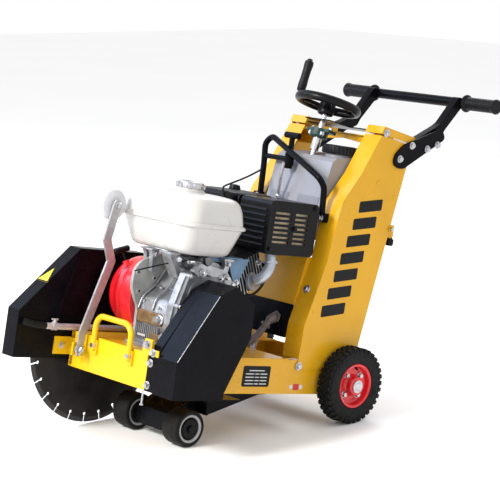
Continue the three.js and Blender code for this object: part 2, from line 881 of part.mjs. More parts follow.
// ---- Handlebar
const plateIn = TOWER_OUT + GAP;
const BRACKET = [
  [-66, 598], [-66, 612], [-76, 628], [-102, 648], [-134, 660], [-228, 700], [-246, 696], [-257, 676],
  [-108, 581], [-96, 578], [-80, 582],
];
function bracket(side) {
  const span = sided(side);
  return acrossY(BRACKET, ...span(plateIn, plateIn + 6));
}
node("handle_bracket_left", bracket(1), BLACK, controls);
node("handle_bracket_right", bracket(-1), BLACK, controls);

const ARM = [
  [-150, 636], [-142, 661], [-228, 709], [-242, 718], [-300, 798], [-332, 795], [-332, 771], [-316, 769],
  [-260, 700], [-252, 682],
];
const ARM_ROOT = [[-152, 642], [-152, 652], [-226, 696], [-244, 690], [-248, 680]];
function handleArm(side) {
  const span = sided(side);
  return join(acrossY(ARM, ...span(148, 170)), acrossY(ARM_ROOT, ...span(165, TOWER_OUT)));
}
node(
  "handlebar",
  join(across(BAR, -BAR_HALF + 6, BAR_HALF - 6, 14), handleArm(1), handleArm(-1)),
  BLACK,
  controls,
);
const GRIP = [
  [14.3, 0], [24, 0], [24, 6], [18, 9], [18, 100], [21, 106], [18, 114], [0, 114], [0, 108.5],
  [14.3, 108.5],
];
node("handle_grip_left", turned(GRIP, [BAR[0], 171, BAR[1]], [0, 1, 0], 20), RUBBER, controls);
node("handle_grip_right", turned(GRIP, [BAR[0], -171, BAR[1]], [0, -1, 0], 20), RUBBER, controls);

// ---- Cutting guide
// A flat bar, bent toward the machine's middle near its top; each station is [x, y, z, half width].
const GUIDE_BAR = [
  [673, -100, 7, 8], [671, -100, 62, 11], [613, -100, 247, 12], [650, -82, 303, 12], [646, -67, 388, 12],
  [644, -67, 402, 7],
];
const GUIDE_BAR_HALF = 3;
const stationBlock = ([x, y, z, w]) =>
  box(x - w, x + w, y - GUIDE_BAR_HALF, y + GUIDE_BAR_HALF, z - 2, z + 2);
const guideBar = GUIDE_BAR.slice(1).map((s, i) => hull(stationBlock(GUIDE_BAR[i]), stationBlock(s)));
const WHEEL_FAR = -101.7;
node(
  "guide_arm",
  cut(
    join(
      ...guideBar,
      across(GUIDE_PIVOT, -103, -97, 13),
      across(GUIDE_WHEEL, WHEEL_FAR - 3, -62, 5, 14),
      across(GUIDE_WHEEL, WHEEL_FAR - 3, WHEEL_FAR - GAP, 9, 14),
      across(GUIDE_WHEEL, -65, -61, 9, 14),
    ),
    across(GUIDE_PIVOT, -110, -90, 6 + GAP),
  ),
  ZINC,
  controls,
);
const wheelProfile = [
  [5.3, 0], [30, 0], [37, 3], [GUIDE_WHEEL_R, 9], [GUIDE_WHEEL_R, 18], [37, 23.5], [30, 26.4], [5.3, 26.4],
];
node(
  "guide_wheel",
  turned(wheelProfile, [GUIDE_WHEEL[0], WHEEL_FAR, GUIDE_WHEEL[1]], [0, 1, 0], 32),
  WHITE,
  controls,
);

// ---- Water and cable
const TANK = [
  [128, 364], [124, 395], [108, 470], [97, 540], [90, 572], [76, 583], [-20, 593], [-52, 593], [-66, 578],
  [-78, 364],
];
const tankSlot = [[-120, 340], [124, 340], [68, 610], [-120, 610]];
const LID_AT = [18, 60];
node(
  "water_tank",
  cut(
    join(
      acrossY(TANK, -100, 108),
      rod([...LID_AT, 580], [...LID_AT, 603], 39, 24),
    ),
    acrossY(tankSlot, -15, 15),
  ),
  TANK_GREY,
  water,
);
const lidProfile = [[39.3, 0], [48, 0], [48, 19], [44, 23], [0, 23], [0, 13.3], [39.3, 13.3]];
node("water_tank_lid", turned(lidProfile, [...LID_AT, 593.6], [0, 0, 1], 28), BLACK, water);
const HOSE = [
  [250, 34, 72], [230, 38, 74], [210, 48, 96], [198, 57, 122], [190, 62, 138], [182, 65, 147],
];
node(
  "water_hose",
  bent(HOSE, 10, 20),
  surface(0x6f625c, 0.8, 0),
  water,
);
const PIPE = [[442, -160, 66.2], [560, -160, 66.2], [700, -160, 66.2], [752, -160, 67], [796, -163, 73]];
node(
  "water_pipe",
  bent(PIPE, 7.5, 20),
  ZINC,
  water,
);
const CABLE = [
  [352, 30, 300], [352, -6, 440], [346, -20, 468], [330, -30, 472], [204, -88, 498], [133, -108, 524],
];
node(
  "throttle_cable",
  bent(CABLE, 2.6, 24, 3),
  RUBBER,
  controls,
);

export default root;
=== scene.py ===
import json
import math

import bmesh
import bpy
from mathutils import Matrix, Vector


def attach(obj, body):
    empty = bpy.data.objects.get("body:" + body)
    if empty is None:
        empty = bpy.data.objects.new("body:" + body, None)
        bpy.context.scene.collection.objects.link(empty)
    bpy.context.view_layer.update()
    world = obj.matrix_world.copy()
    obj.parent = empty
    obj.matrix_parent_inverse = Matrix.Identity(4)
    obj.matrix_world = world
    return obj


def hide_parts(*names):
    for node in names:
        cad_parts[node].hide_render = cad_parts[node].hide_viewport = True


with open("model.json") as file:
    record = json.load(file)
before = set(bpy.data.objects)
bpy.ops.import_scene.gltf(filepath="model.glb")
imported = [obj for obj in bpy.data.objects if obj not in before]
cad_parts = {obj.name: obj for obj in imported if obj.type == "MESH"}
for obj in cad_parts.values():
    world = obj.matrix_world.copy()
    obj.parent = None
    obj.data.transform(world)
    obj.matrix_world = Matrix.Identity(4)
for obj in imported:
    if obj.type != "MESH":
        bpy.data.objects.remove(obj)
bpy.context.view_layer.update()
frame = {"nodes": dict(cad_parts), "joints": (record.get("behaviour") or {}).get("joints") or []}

# ---- Saw frame: millimetres, zero on the rear axle, X forward along the bed, Y to the operator's left, Z up.
# A pair is a place in the side view (x, z), but FUEL_CAP, CLAMP_AT and LID_AT are seen from above (x, y).
MM = 0.001
FRONT_AXLE = (470.0, -133.0)
SPINDLE = (548.0, 13.0)
CRANK = (498.0, 173.0)
BLADE_R = 200.0
BLADE_Y = -199.0
DISC_HALF, SEGMENT_HALF = 1.3, 1.7
BLADE_SEGMENTS = 24
SLOT_GAP = 2.3
RELIEF_AT, RELIEF_R = 179.0, 4.2
HUB = (30.0, 0.0, 722.0)
HANDWHEEL_R = 82.0
RAIL_OUT = 171.0
TOWER_OUT = 174.0
BRACKET_OUT = TOWER_OUT + 6.3
PLATE_FACE = 652.0
GUARD_NEAR = 246.0
BAR = (-330.0, 783.0)
BAR_HALF = 285.0
SEAT = 58.3
FUEL_CAP = (500.0, 30.0)
CLAMP_AT = (116.0, -28.0)
LID_AT = (18.0, 60.0)
PIPE_Y = -160.0
GUIDE_PIVOT = (672.0, 20.0)
GUIDE_WHEEL = (644.0, 391.0)
REAR_WHEEL_Y = 205.0
FRONT_WHEEL_Y = 99.0
LEFT, RIGHT = (0, 1, 0), (0, -1, 0)
FRONT, UP = (1, 0, 0), (0, 0, 1)
SCREW_UP = Vector((-0.21, 0, 0.978)).normalized()


def joint(name):
    """The record's joint of that name."""
    return next(j for j in frame["joints"] if j["name"] == name)


def saw_matrix():
    """Saw frame in millimetres to the row frame in metres, from the two axles' joints."""
    rear = Vector(joint("rear_left_spin")["pos_m"])
    front = Vector(joint("front_left_spin")["pos_m"])
    run = front - rear
    pitch = math.atan2(run.z, run.x) - math.atan2(FRONT_AXLE[1], FRONT_AXLE[0])
    place = Matrix.Translation((rear.x, 0, rear.z))
    return place @ Matrix.Rotation(-pitch, 4, "Y") @ Matrix.Scale(MM, 4)


SAW = saw_matrix()


def axis_matrix(origin, axis, hint=None):
    """A frame in saw millimetres whose Z runs along axis, its X square to a hint."""
    z = Vector(axis).normalized()
    x = Vector(hint or (LEFT if abs(z.y) < 0.9 else UP)).cross(z).normalized()
    y = z.cross(x)
    return Matrix.Translation(Vector(origin)) @ Matrix((x, y, z)).transposed().to_4x4()


def spokes(count, start=0.0):
    """The (cosine, sine) of each of a number of even steps round a circle."""
    steps = [start + 2 * math.pi * k / count for k in range(count)]
    return [(math.cos(t), math.sin(t)) for t in steps]


def sided(side, near, far):
    """A span across the machine on one side, lower end first."""
    return sorted((side * near, side * far))


def oblong(x0, x1, z0, z1):
    """A rectangle's four corners (x, z)."""
    return [(x0, z0), (x1, z0), (x1, z1), (x0, z1)]


def tube(r0, r1, h0, h1):
    """The (radius, height) profile of a plain tube, or of a disc where r0 is zero."""
    return oblong(r0, r1, h0, h1)


def mirrored(half):
    """The other half of a (radius, height) profile, in reverse order."""
    return [(r, -h) for r, h in reversed(half)]


def flipped(profile, side):
    """A profile turned over for the far side of the machine."""
    return [(r, h * side) for r, h in profile]


def on(spot, y):
    """A point at a place in the side view (x, z) and a distance across the machine."""
    return (spot[0], y, spot[1])


def facing(axis, *points):
    """Bolt spots that all point one way."""
    return [(point, axis) for point in points]


# ---- Mesh building, in saw millimetres
EDGE_STEPS = 5


class Shape:
    """Geometry collected for one piece."""

    def __init__(self):
        self.bm = bmesh.new()

    def loft(self, loops, ring=False):
        """Skins a list of equal point loops, closed at both ends or joined end to end."""
        rows = [[self.bm.verts.new(p) for p in loop] for loop in loops]
        pairs = list(zip(rows, rows[1:]))
        if ring:
            pairs.append((rows[-1], rows[0]))
        for a, b in pairs:
            for i in range(len(a)):
                k = (i + 1) % len(a)
                self.bm.faces.new((a[i], a[k], b[k], b[i]))
        if not ring:
            self.bm.faces.new(list(reversed(rows[0])))
            self.bm.faces.new(rows[-1])
        return self

    def slab(self, outline, y0, y1):
        """A side outline (x, z) given a thickness across the machine."""
        return self.loft([[(x, y, z) for x, z in outline] for y in (y0, y1)])

    def box(self, x0, x1, y0, y1, z0, z1):
        return self.slab(oblong(x0, x1, z0, z1), y0, y1)

    def ring_plate(self, outer, inner, y0, y1):
        """A plate across the machine with a hole; both outlines have equal point counts."""
        corners = ((outer, y0), (outer, y1), (inner, y1), (inner, y0))
        return self.loft([[(x, y, z) for x, z in line] for line, y in corners], ring=True)

    def turned(self, profile, origin, axis, sides=48):
        """Revolves (radius, height) points about an axis; a profile off the axis closes on itself."""
        m = axis_matrix(origin, axis)
        hollow = min(r for r, _ in profile) > 1e-6
        rows = []
        for c, s in spokes(sides):
            rows.append([self.bm.verts.new(m @ Vector((r * c, r * s, h))) for r, h in profile])
        count = len(profile)
        for i in range(sides):
            a, b = rows[i], rows[(i + 1) % sides]
            for k in range(count if hollow else count - 1):
                n = (k + 1) % count
                self.bm.faces.new((a[k], b[k], b[n], a[n]))
        return self

    def rod(self, a, b, r, sides=24, edge=0.0):
        axis = Vector(b) - Vector(a)
        h = axis.length
        e = edge or min(r * 0.12, 0.8)
        return self.turned([(0, 0), (r - e, 0), (r, e), (r, h - e), (r - e, h), (0, h)], a, axis, sides)

    def across(self, centre, y0, y1, r, sides=32):
        return self.rod((centre[0], y0, centre[1]), (centre[0], y1, centre[1]), r, sides)

    def sweep(self, points, r, bend, sides):
        """A tube along a route whose corners are rounded."""
        path = rounded(points, bend)
        loops = []
        normal = None
        for i, p in enumerate(path):
            tangent = (path[min(i + 1, len(path) - 1)] - path[max(i - 1, 0)]).normalized()
            if normal is None:
                normal = tangent.orthogonal().normalized()
            normal = (normal - tangent * normal.dot(tangent)).normalized()
            side = tangent.cross(normal)
            radius = r(i / (len(path) - 1)) if callable(r) else r
            loops.append([p + (normal * c + side * s) * radius for c, s in spokes(sides)])
        return self.loft(loops)

    def pillow(self, x0, x1, y0, y1, z0, z1, corner, edge, crown=0.0):
        """A rounded rectangular body with softened upper and lower edges and a domed top."""
        loops = []
        quarter = [math.pi / 2 * k / EDGE_STEPS for k in range(EDGE_STEPS + 1)]
        levels = [(1 - math.sin(t), z0 + edge * (1 - math.cos(t))) for t in quarter]
        levels += [(1 - math.cos(t), z1 - edge * (1 - math.sin(t))) for t in quarter]
        for inset, z in levels:
            loops.append(rectangle(x0, x1, y0, y1, corner, edge * inset, z))
        if crown:
            for k in range(1, 5):
                inset = edge + k * min(x1 - x0, y1 - y0) * 0.09
                rise = crown * math.sin(math.pi / 2 * k / 4)
                loops.append(rectangle(x0, x1, y0, y1, corner, inset, z1 + rise))
        return self.loft(loops)

    def hexagon(self, at, axis, across_flats, height, washer=0.0):
        """A bolt head or nut on a washer, its underside at the given point."""
        r = across_flats / math.sqrt(3)
        base = 0.0
        if washer:
            base = 1.6
            rim = [(0, 0), (washer, 0), (washer, base * 0.8), (washer - 0.4, base), (0, base)]
            self.turned(rim, at, axis, 28)
        head = [(0, base), (r * 0.97, base), (r, base + 0.5), (r, base + height * 0.82),
                (r * 0.86, base + height), (0, base + height)]
        return self.turned(head, at, axis, 6)

    def moved(self, matrix):
        bmesh.ops.transform(self.bm, matrix=matrix, verts=self.bm.verts)
        return self

    def piece(self, name, finish, stands_for=(), bevel=0.0, body="chassis", slot=None, angle=35.0):
        """Turns the geometry into an object that rides on a CAD body."""
        bmesh.ops.remove_doubles(self.bm, verts=self.bm.verts, dist=0.01)
        bmesh.ops.recalc_face_normals(self.bm, faces=self.bm.faces)
        self.moved(SAW)
        mesh = bpy.data.meshes.new(name)
        self.bm.to_mesh(mesh)
        self.bm.free()
        return dress(mesh, name, finish, body, stands_for, bevel, angle)


def dress(mesh, name, finish, body, stands_for, bevel, angle):
    """An object with one finish and soft edges that rides on a body and may stand for CAD nodes."""
    obj = bpy.data.objects.new(name, mesh)
    bpy.context.scene.collection.objects.link(obj)
    mesh.materials.clear()
    mesh.materials.append(finish)
    for p in mesh.polygons:
        p.use_smooth = True
    mesh.set_sharp_from_angle(angle=math.radians(angle))
    if bevel:
        mod = obj.modifiers.new("edges", "BEVEL")
        mod.width = bevel * MM
        mod.segments = 3
        mod.limit_method = "ANGLE"
        mod.angle_limit = math.radians(angle)
        mod.miter_outer = "MITER_ARC"
        mod.use_clamp_overlap = True
        even = obj.modifiers.new("shading", "WEIGHTED_NORMAL")
        even.keep_sharp = True
    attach(obj, body)
    if stands_for:
        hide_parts(*stands_for)
    return obj


WELD_M = 2e-5
FLAT_DEGREES = 1.5
SKIN_SHARP = 30.0


def refined(node, finish, bevel=0.8, body="chassis"):
    """The CAD node's own shape with flat faces merged and its edges softened."""
    mesh = frame["nodes"][node].data.copy()
    bm = bmesh.new()
    bm.from_mesh(mesh)
    bmesh.ops.remove_doubles(bm, verts=bm.verts, dist=WELD_M)
    bmesh.ops.dissolve_limit(bm, angle_limit=math.radians(FLAT_DEGREES), verts=bm.verts, edges=bm.edges)
    bm.to_mesh(mesh)
    bm.free()
    return dress(mesh, node + "_skin", finish, body, (node,), bevel, SKIN_SHARP)


def rounded(points, bend, steps=6):
    """A route with each corner replaced by an arc."""
    pts = [Vector(p) for p in points]
    path = [pts[0]]
    for a, b, c in zip(pts, pts[1:], pts[2:]):
        cut = min(bend, (a - b).length * 0.49, (c - b).length * 0.49)
        start = b + (a - b).normalized() * cut
        end = b + (c - b).normalized() * cut
        for k in range(steps + 1):
            t = k / steps
            path.append(start * (1 - t) ** 2 + b * 2 * t * (1 - t) + end * t * t)
    path.append(pts[-1])
    return [p for i, p in enumerate(path) if i == 0 or (p - path[i - 1]).length > 1e-3]


def rectangle(x0, x1, y0, y1, corner, inset, z, arcs=8):
    """A rounded rectangle's loop at one height."""
    r = max(corner - inset, 0.5)
    d = corner + max(inset - corner, 0.0)
    centres = [(x1 - d, y1 - d, 0), (x0 + d, y1 - d, 90), (x0 + d, y0 + d, 180), (x1 - d, y0 + d, 270)]
    loop = []
    for cx, cy, start in centres:
        for k in range(arcs + 1):
            t = math.radians(start + 90 * k / arcs)
            loop.append((cx + r * math.cos(t), cy + r * math.sin(t), z))
    return loop


def soft(outline, r, arcs=5):
    """An outline (x, z) with rounded corners."""
    loop = rounded([(x, 0, z) for x, z in outline + outline[:2]], r, arcs)
    return [(p.x, p.z) for p in loop[1:-1]][: len(loop) - 2]


def circle(centre, r, count, start=0.0):
    """Points (x, z) evenly round a circle seen from the side."""
    x, z = centre
    return [(x + r * c, z + r * s) for c, s in spokes(count, start)]


# ---- Materials
DUST_COLOUR = (0.42, 0.39, 0.35, 1.0)
DUST_HEIGHT = (0.02, 0.30)


def look(name, colour, roughness, tone, grain, bump, metallic=0.0, bump_scale=900.0, coat=0.0, dust=0.0,
         specular=0.5):
    """A painted, cast or moulded surface: mottled tone, uneven gloss, fine bump and a trace of dust."""
    mat = bpy.data.materials.new(name)
    mat.use_nodes = True
    nodes, links = mat.node_tree.nodes, mat.node_tree.links
    bsdf = nodes["Principled BSDF"]
    bsdf.inputs["Metallic"].default_value = metallic
    bsdf.inputs["Coat Weight"].default_value = coat
    bsdf.inputs["Coat Roughness"].default_value = 0.08
    bsdf.inputs["Specular IOR Level"].default_value = specular
    place = nodes.new("ShaderNodeTexCoord").outputs["Object"]

    def add(kind, output, inputs, **settings):
        """A node with its inputs linked or set; returns one of its outputs."""
        n = nodes.new(kind)
        for key, value in settings.items():
            setattr(n, key, value)
        for socket, value in inputs.items():
            if isinstance(value, bpy.types.NodeSocket):
                links.new(value, n.inputs[socket])
            else:
                n.inputs[socket].default_value = value
        return n.outputs[output]

    def noise(scale, detail=4.0):
        return add("ShaderNodeTexNoise", "Fac", {"Scale": scale, "Detail": detail, "Vector": place})

    def mixed(factor, a, b):
        return add("ShaderNodeMix", 2, {0: factor, 6: a, 7: b}, data_type="RGBA")

    def ranged(value, low, high, to_low, to_high):
        spans = {"From Min": low, "From Max": high, "To Min": to_low, "To Max": to_high}
        return add("ShaderNodeMapRange", "Result", {"Value": value, **spans})

    dark = tuple(c * (1 - tone) for c in colour) + (1.0,)
    light = tuple(min(c * (1 + tone), 1.0) for c in colour) + (1.0,)
    tint = mixed(ranged(noise(grain), 0.3, 0.7, 0.0, 1.0), dark, light)
    if dust:
        low = ranged(add("ShaderNodeSeparateXYZ", "Z", {0: place}), *DUST_HEIGHT, 1.0, 0.0)
        patchy = ranged(noise(38.0, 8.0), 0.45, 0.75, 0.0, dust)
        both = add("ShaderNodeMath", 0, {0: low, 1: patchy}, operation="MULTIPLY")
        tint = mixed(both, tint, DUST_COLOUR)
    links.new(tint, bsdf.inputs["Base Color"])
    rough = ranged(noise(grain * 2.3), 0.3, 0.7, roughness * 0.82, min(roughness * 1.2, 1.0))
    links.new(rough, bsdf.inputs["Roughness"])
    if bump:
        relief = {"Strength": bump, "Distance": 0.001, "Height": noise(bump_scale, 3.0)}
        links.new(add("ShaderNodeBump", "Normal", relief), bsdf.inputs["Normal"])
    return mat


# Each row: name, colour, roughness, tone, grain, bump
YELLOW = look("yellow_enamel", (0.61, 0.315, 0.006), 0.32, 0.05, 9, 0.06, coat=0.08, dust=0.12, specular=0.3)
# Painted light: the yellow enamel made lighter for front-facing parts that catch the light. It is the same
# paint as YELLOW.
LIT_YELLOW = look("lit_yellow_enamel", (0.66, 0.40, 0.006), 0.32, 0.04, 9, 0.06, coat=0.08, specular=0.3)
BLACK = look("black_enamel", (0.003, 0.003, 0.0045), 0.26, 0.35, 14, 0.06, dust=0.004, specular=0.07)
SATIN = look("satin_black", (0.003, 0.003, 0.004), 0.33, 0.3, 30, 0.12, specular=0.16)
PLASTIC = look("moulded_black", (0.004, 0.004, 0.005), 0.42, 0.25, 40, 0.25, bump_scale=1500, specular=0.16)
RUBBER = look("black_rubber", (0.005, 0.005, 0.005), 0.58, 0.35, 50, 0.4, bump_scale=700, dust=0.015,
              specular=0.16)
GRIP = look("grip_rubber", (0.004, 0.004, 0.005), 0.5, 0.25, 60, 0.4, specular=0.16)
ZINC = look("bright_zinc", (0.50, 0.50, 0.52), 0.3, 0.2, 90, 0.1, metallic=1.0)
STEEL = look("ground_steel", (0.36, 0.36, 0.38), 0.36, 0.16, 120, 0.12, metallic=0.9)
CAST = look("cast_alloy", (0.36, 0.365, 0.38), 0.34, 0.3, 38, 0.5, metallic=0.85, bump_scale=1100)
CAST_PLATE = look("plain_alloy", (0.33, 0.33, 0.32), 0.5, 0.2, 38, 0.4, metallic=0.25)
PIPE = look("dull_pipe", (0.47, 0.42, 0.43), 0.36, 0.12, 40, 0.1, metallic=0.35)
CAST_DARK = look("shaded_alloy", (0.17, 0.175, 0.19), 0.45, 0.3, 45, 0.5, metallic=0.7, bump_scale=1100)
FIN = look("fin_alloy", (0.035, 0.035, 0.038), 0.5, 0.3, 45, 0.4, metallic=0.3, specular=0.3)
ARM_STEEL = look("satin_steel", (0.40, 0.40, 0.41), 0.45, 0.15, 60, 0.15, metallic=0.6)
IRON = look("grey_iron", (0.14, 0.14, 0.15), 0.5, 0.2, 60, 0.5, metallic=0.7)
RED = look("red_enamel", (0.60, 0.008, 0.014), 0.3, 0.12, 16, 0.06, coat=0.3)
WHITE = look("white_enamel", (0.50, 0.487, 0.465), 0.3, 0.03, 10, 0.04, coat=0.3)
NYLON = look("white_nylon", (0.55, 0.55, 0.57), 0.45, 0.05, 30, 0.12)
TANK = look("tank_polythene", (0.235, 0.235, 0.26), 0.34, 0.08, 12, 0.14, bump_scale=420)
TANK_BAND = look("tank_darker_grey", (0.17, 0.17, 0.19), 0.34, 0.08, 12, 0.14, bump_scale=420)
GREEN = look("dark_green_cast", (0.006, 0.035, 0.024), 0.4, 0.3, 40, 0.4, specular=0.35)
SLATE = look("blue_grey_plate", (0.11, 0.19, 0.29), 0.38, 0.15, 30, 0.1, metallic=0.3)
HOSE = look("brown_hose", (0.13, 0.105, 0.10), 0.55, 0.25, 60, 0.3)
RING = look("pale_ring", (0.33, 0.33, 0.34), 0.45, 0.2, 60, 0.2)
BLADE_STEEL = look("blade_steel", (0.016, 0.014, 0.013), 0.4, 0.35, 22, 0.12, metallic=0.3, specular=0.35)
DIAMOND = look("diamond_segment", (0.05, 0.048, 0.047), 0.65, 0.4, 400, 0.8, metallic=0.3, bump_scale=2200)
EXHAUST = look("exhaust_steel", (0.42, 0.45, 0.51), 0.34, 0.2, 30, 0.3, metallic=0.7)
HEAT_TAN = look("heat_tanned_steel", (0.42, 0.33, 0.22), 0.42, 0.3, 40, 0.3, metallic=0.4)
BRASS_STAIN = look("stained_alloy", (0.20, 0.125, 0.055), 0.42, 0.4, 50, 0.5, metallic=0.6)
INK = look("black_decal", (0.004, 0.004, 0.005), 0.4, 0.15, 20, 0.02, specular=0.16)
PALE_INK = look("pale_decal", (0.58, 0.58, 0.57), 0.4, 0.08, 20, 0.02)
SIGN = look("yellow_decal", (0.80, 0.66, 0.015), 0.35, 0.05, 20, 0.02)
RED_INK = look("red_decal", (0.5, 0.015, 0.015), 0.35, 0.08, 20, 0.02)


# ---- Camera, lights and floor
CAMERA_AT = (3358.4, 3259.9, 621.6)
CAMERA_AIM = (264.0, 28.8, 316.2)
CAMERA_ROLL = 8.531
LENS_MM = 124.53
SENSOR_MM = 36.0


def set_camera():
    """A long lens from the front left, a little above the engine."""
    data = bpy.data.cameras.new("camera")
    data.sensor_width = SENSOR_MM
    data.lens = LENS_MM
    data.clip_start = 0.1
    data.clip_end = 60.0
    camera = bpy.data.objects.new("camera", data)
    bpy.context.scene.collection.objects.link(camera)
    back = Vector(CAMERA_AT) - Vector(CAMERA_AIM)
    level = axis_matrix((0, 0, 0), back, UP).to_3x3() @ Matrix.Rotation(math.radians(CAMERA_ROLL), 3, "Z")
    spin = (SAW.to_3x3() * (1 / MM)) @ level
    camera.matrix_world = Matrix.Translation(SAW @ Vector(CAMERA_AT)) @ spin.to_4x4()
    bpy.context.scene.camera = camera


WARM, COOL, BLUE = (1.0, 0.98, 0.94), (0.95, 0.97, 1.0), (0.45, 0.62, 1.0)


def area(name, place, target, size, power, colour):
    """A round soft light in metres, aimed at a point."""
    data = bpy.data.lights.new(name, "AREA")
    data.shape = "DISK"
    data.size = size
    data.energy = power
    data.color = colour
    lamp = bpy.data.objects.new(name, data)
    lamp.location = place
    aim = Vector(target) - Vector(place)
    lamp.rotation_euler = aim.to_track_quat("-Z", "Y").to_euler()
    bpy.context.scene.collection.objects.link(lamp)


def set_lights():
    area("key", (4.0, -0.4, 3.0), (0.1, 0, 0.4), 1.1, 265, WARM)
    area("fill", (1.4, 4.4, 2.6), (0, 0, 0.4), 2.6, 16, COOL)
    area("rim", (-3.0, -1.5, 3.4), (0, 0, 0.5), 2.0, 60, COOL)
    area("sky", (1.9, -2.6, 2.7), (0.3, 0, 0.3), 2.4, 58, BLUE)
    world = bpy.data.worlds.new("studio")
    world.use_nodes = True
    sky = world.node_tree.nodes["Background"]
    sky.inputs["Color"].default_value = (1.0, 1.0, 1.0, 1.0)
    sky.inputs["Strength"].default_value = 1.0
    bpy.context.scene.world = world
    bpy.context.scene.view_settings.view_transform = "Standard"


def set_floor():
    mesh = bpy.data.meshes.new("floor")
    half = 14.0
    corners = [(-half, -half, 0), (half, -half, 0), (half, half, 0), (-half, half, 0)]
    mesh.from_pydata(corners, [], [(0, 1, 2, 3)])
    floor = bpy.data.objects.new("floor", mesh)
    mesh.materials.append(look("pale_floor", (0.92, 0.92, 0.92), 0.7, 0.01, 1, 0.0))
    bpy.context.scene.collection.objects.link(floor)


set_camera()
set_lights()
set_floor()


# ---- Bed, tower and their fixings
def bolts(name, spots, size=13.0, height=6.0, washer=11.0, body="chassis", finish=ZINC):
    """Zinc hexagon bolts, each (point, axis), joined in one piece."""
    shape = Shape()
    for point, axis in spots:
        shape.hexagon(point, axis, size, height, washer)
    shape.piece(name, finish, body=body, slot="zinc")


def skinned(names, finish, bevel):
    """Skins several CAD nodes of the chassis in one finish."""
    for name in names:
        refined(name, finish, bevel)


def sheet_metal():
    skinned(["main_frame", "top_cover"], YELLOW, 1.3)
    # The front plate gets the lighter yellow: painted light on its front face.
    skinned(["front_plate"], LIT_YELLOW, 1.3)
    skinned(["tower_left", "tower_right", "tower_panel", "screw_cover"], YELLOW, 0.9)
    skinned(["lower_panel", "dash_plate", "belt_guard", "blade_guard"], BLACK, 1.0)
    profile = [(155.5, 182), (160.5, 182), (156.8, 190.8), (155.3, 197.5), (154.2, 197.5)]
    Shape().slab(profile, -110, 110).piece("panel_lap", BLACK, bevel=0.5)
    skinned(["bearing_block"], GREEN, 1.5)
    skinned(["spindle_bearing_left", "spindle_bearing_right"], IRON, 1.5)


def tower_fixings():
    """Bolts and rivets of the tower, and the water tank's latch on its near side."""
    spots = []
    for x, z in ((-27, 668), (170, 40)):
        spots += [((x, TOWER_OUT, z), LEFT), ((x, -TOWER_OUT, z), RIGHT)]
    bolts("tower_bolts", spots + facing((1, 0, 0.3), (177, 168, 241), (177, -168, 241)))
    rivets = Shape()
    for x, z in ((-23, 537), (-94, 504), (144, 183)):
        for side in (1, -1):
            start = (x, side * TOWER_OUT, z)
            rivets.turned([(0, 0), (4.5, 0), (4.2, 1.2), (2.6, 2.2), (0, 2.6)], start, (0, side, 0), 20)
    rivets.piece("tower_rivets", YELLOW)
    lug = Shape().box(-118, -82, 160, 170.5, 396, 428)
    lug.rod((-98, TOWER_OUT, 417), (-98, TOWER_OUT + 5, 417), 8)
    lug.rod((-110, 166, 392), (-110, 166, 404), 6)
    lug.piece("tank_latch", YELLOW, bevel=1.0)
    bolts("latch_bolts", facing(LEFT, (-98, TOWER_OUT + 5, 417)), 11, 6, 0)
    grip = [(0, -24), (8, -24), (11, -20), (11, -8), (8, -5), (5, 0), (0, 0)]
    Shape().turned(grip, (-112, 166, 396), UP, 20).piece("latch_knob", PLASTIC)


BAR_COUNT = 7


def tower_marks():
    """Seven plain slanted bars run up the tower's side, and a plate of blank lines sits on the rail."""
    bars = Shape()
    half, rise, rear, front = 43, 15, 43 * 0.09, -43 * 0.21
    for i in range(BAR_COUNT):
        t = i / (BAR_COUNT - 1)
        cx, cz = 74 - 83 * t, 194 + 281 * t
        line = [(cx - half, cz - rise + rear), (cx + half, cz - rise + front),
                (cx + half, cz + rise + front), (cx - half, cz + rise + rear)]
        bars.slab(soft(line, 4, 3), TOWER_OUT, TOWER_OUT + 0.4)
    bars.piece("tower_bars", INK)
    outline = soft(oblong(266, 361, -15, 38), 5)
    Shape().slab(outline, RAIL_OUT, RAIL_OUT + 0.8).piece("rating_plate", INK)
    lines = Shape()
    for row in range(5):
        z = 25 - row * 8.5
        spans = ((287, 340),) if row == 0 else ((276, 300), (304, 318), (322, 351))
        for x0, x1 in spans:
            lines.box(x0, x1, RAIL_OUT + 0.8, RAIL_OUT + 1.0, z, z + 2.4)
    lines.piece("rating_lines", PALE_INK, slot="black_paint")
    dots = Shape()
    for x in (148, 184):
        dots.slab(circle((x, -15), 6, 24), RAIL_OUT, RAIL_OUT + 0.5)
    dots.piece("lift_marks_pale", PALE_INK, slot="yellow_paint")
    red = Shape().slab(soft(oblong(156, 176, -23, -7), 3), RAIL_OUT, RAIL_OUT + 0.5)
    red.piece("lift_mark_red", RED_INK)


# ---- Front plate, tow handle and guards
def tow_handle():
    x = PLATE_FACE + 7.8
    foot_z, top_z = 36, 114
    near, far = 75, -64
    route = [(x, near, foot_z - 8), (x, near, 96), (x, near - 19, top_z)]
    route += [(x, far + 14, top_z), (x, far, 96), (x, far, foot_z - 8)]
    shape = Shape().sweep(route, 7.5, 26, 20)
    for y in (near, far):
        shape.box(x - 7.3, x - 2, y - 11, y + 11, foot_z - 20, foot_z + 16)
    # The tow handle gets the lighter yellow: painted light.
    shape.piece("tow_handle_bar", LIT_YELLOW, ("tow_handle",), 1.5)
    bolts("tow_handle_bolts", facing(FRONT, (x - 2, near, foot_z + 2), (x - 2, far, foot_z + 2)), 13, 8, 10)


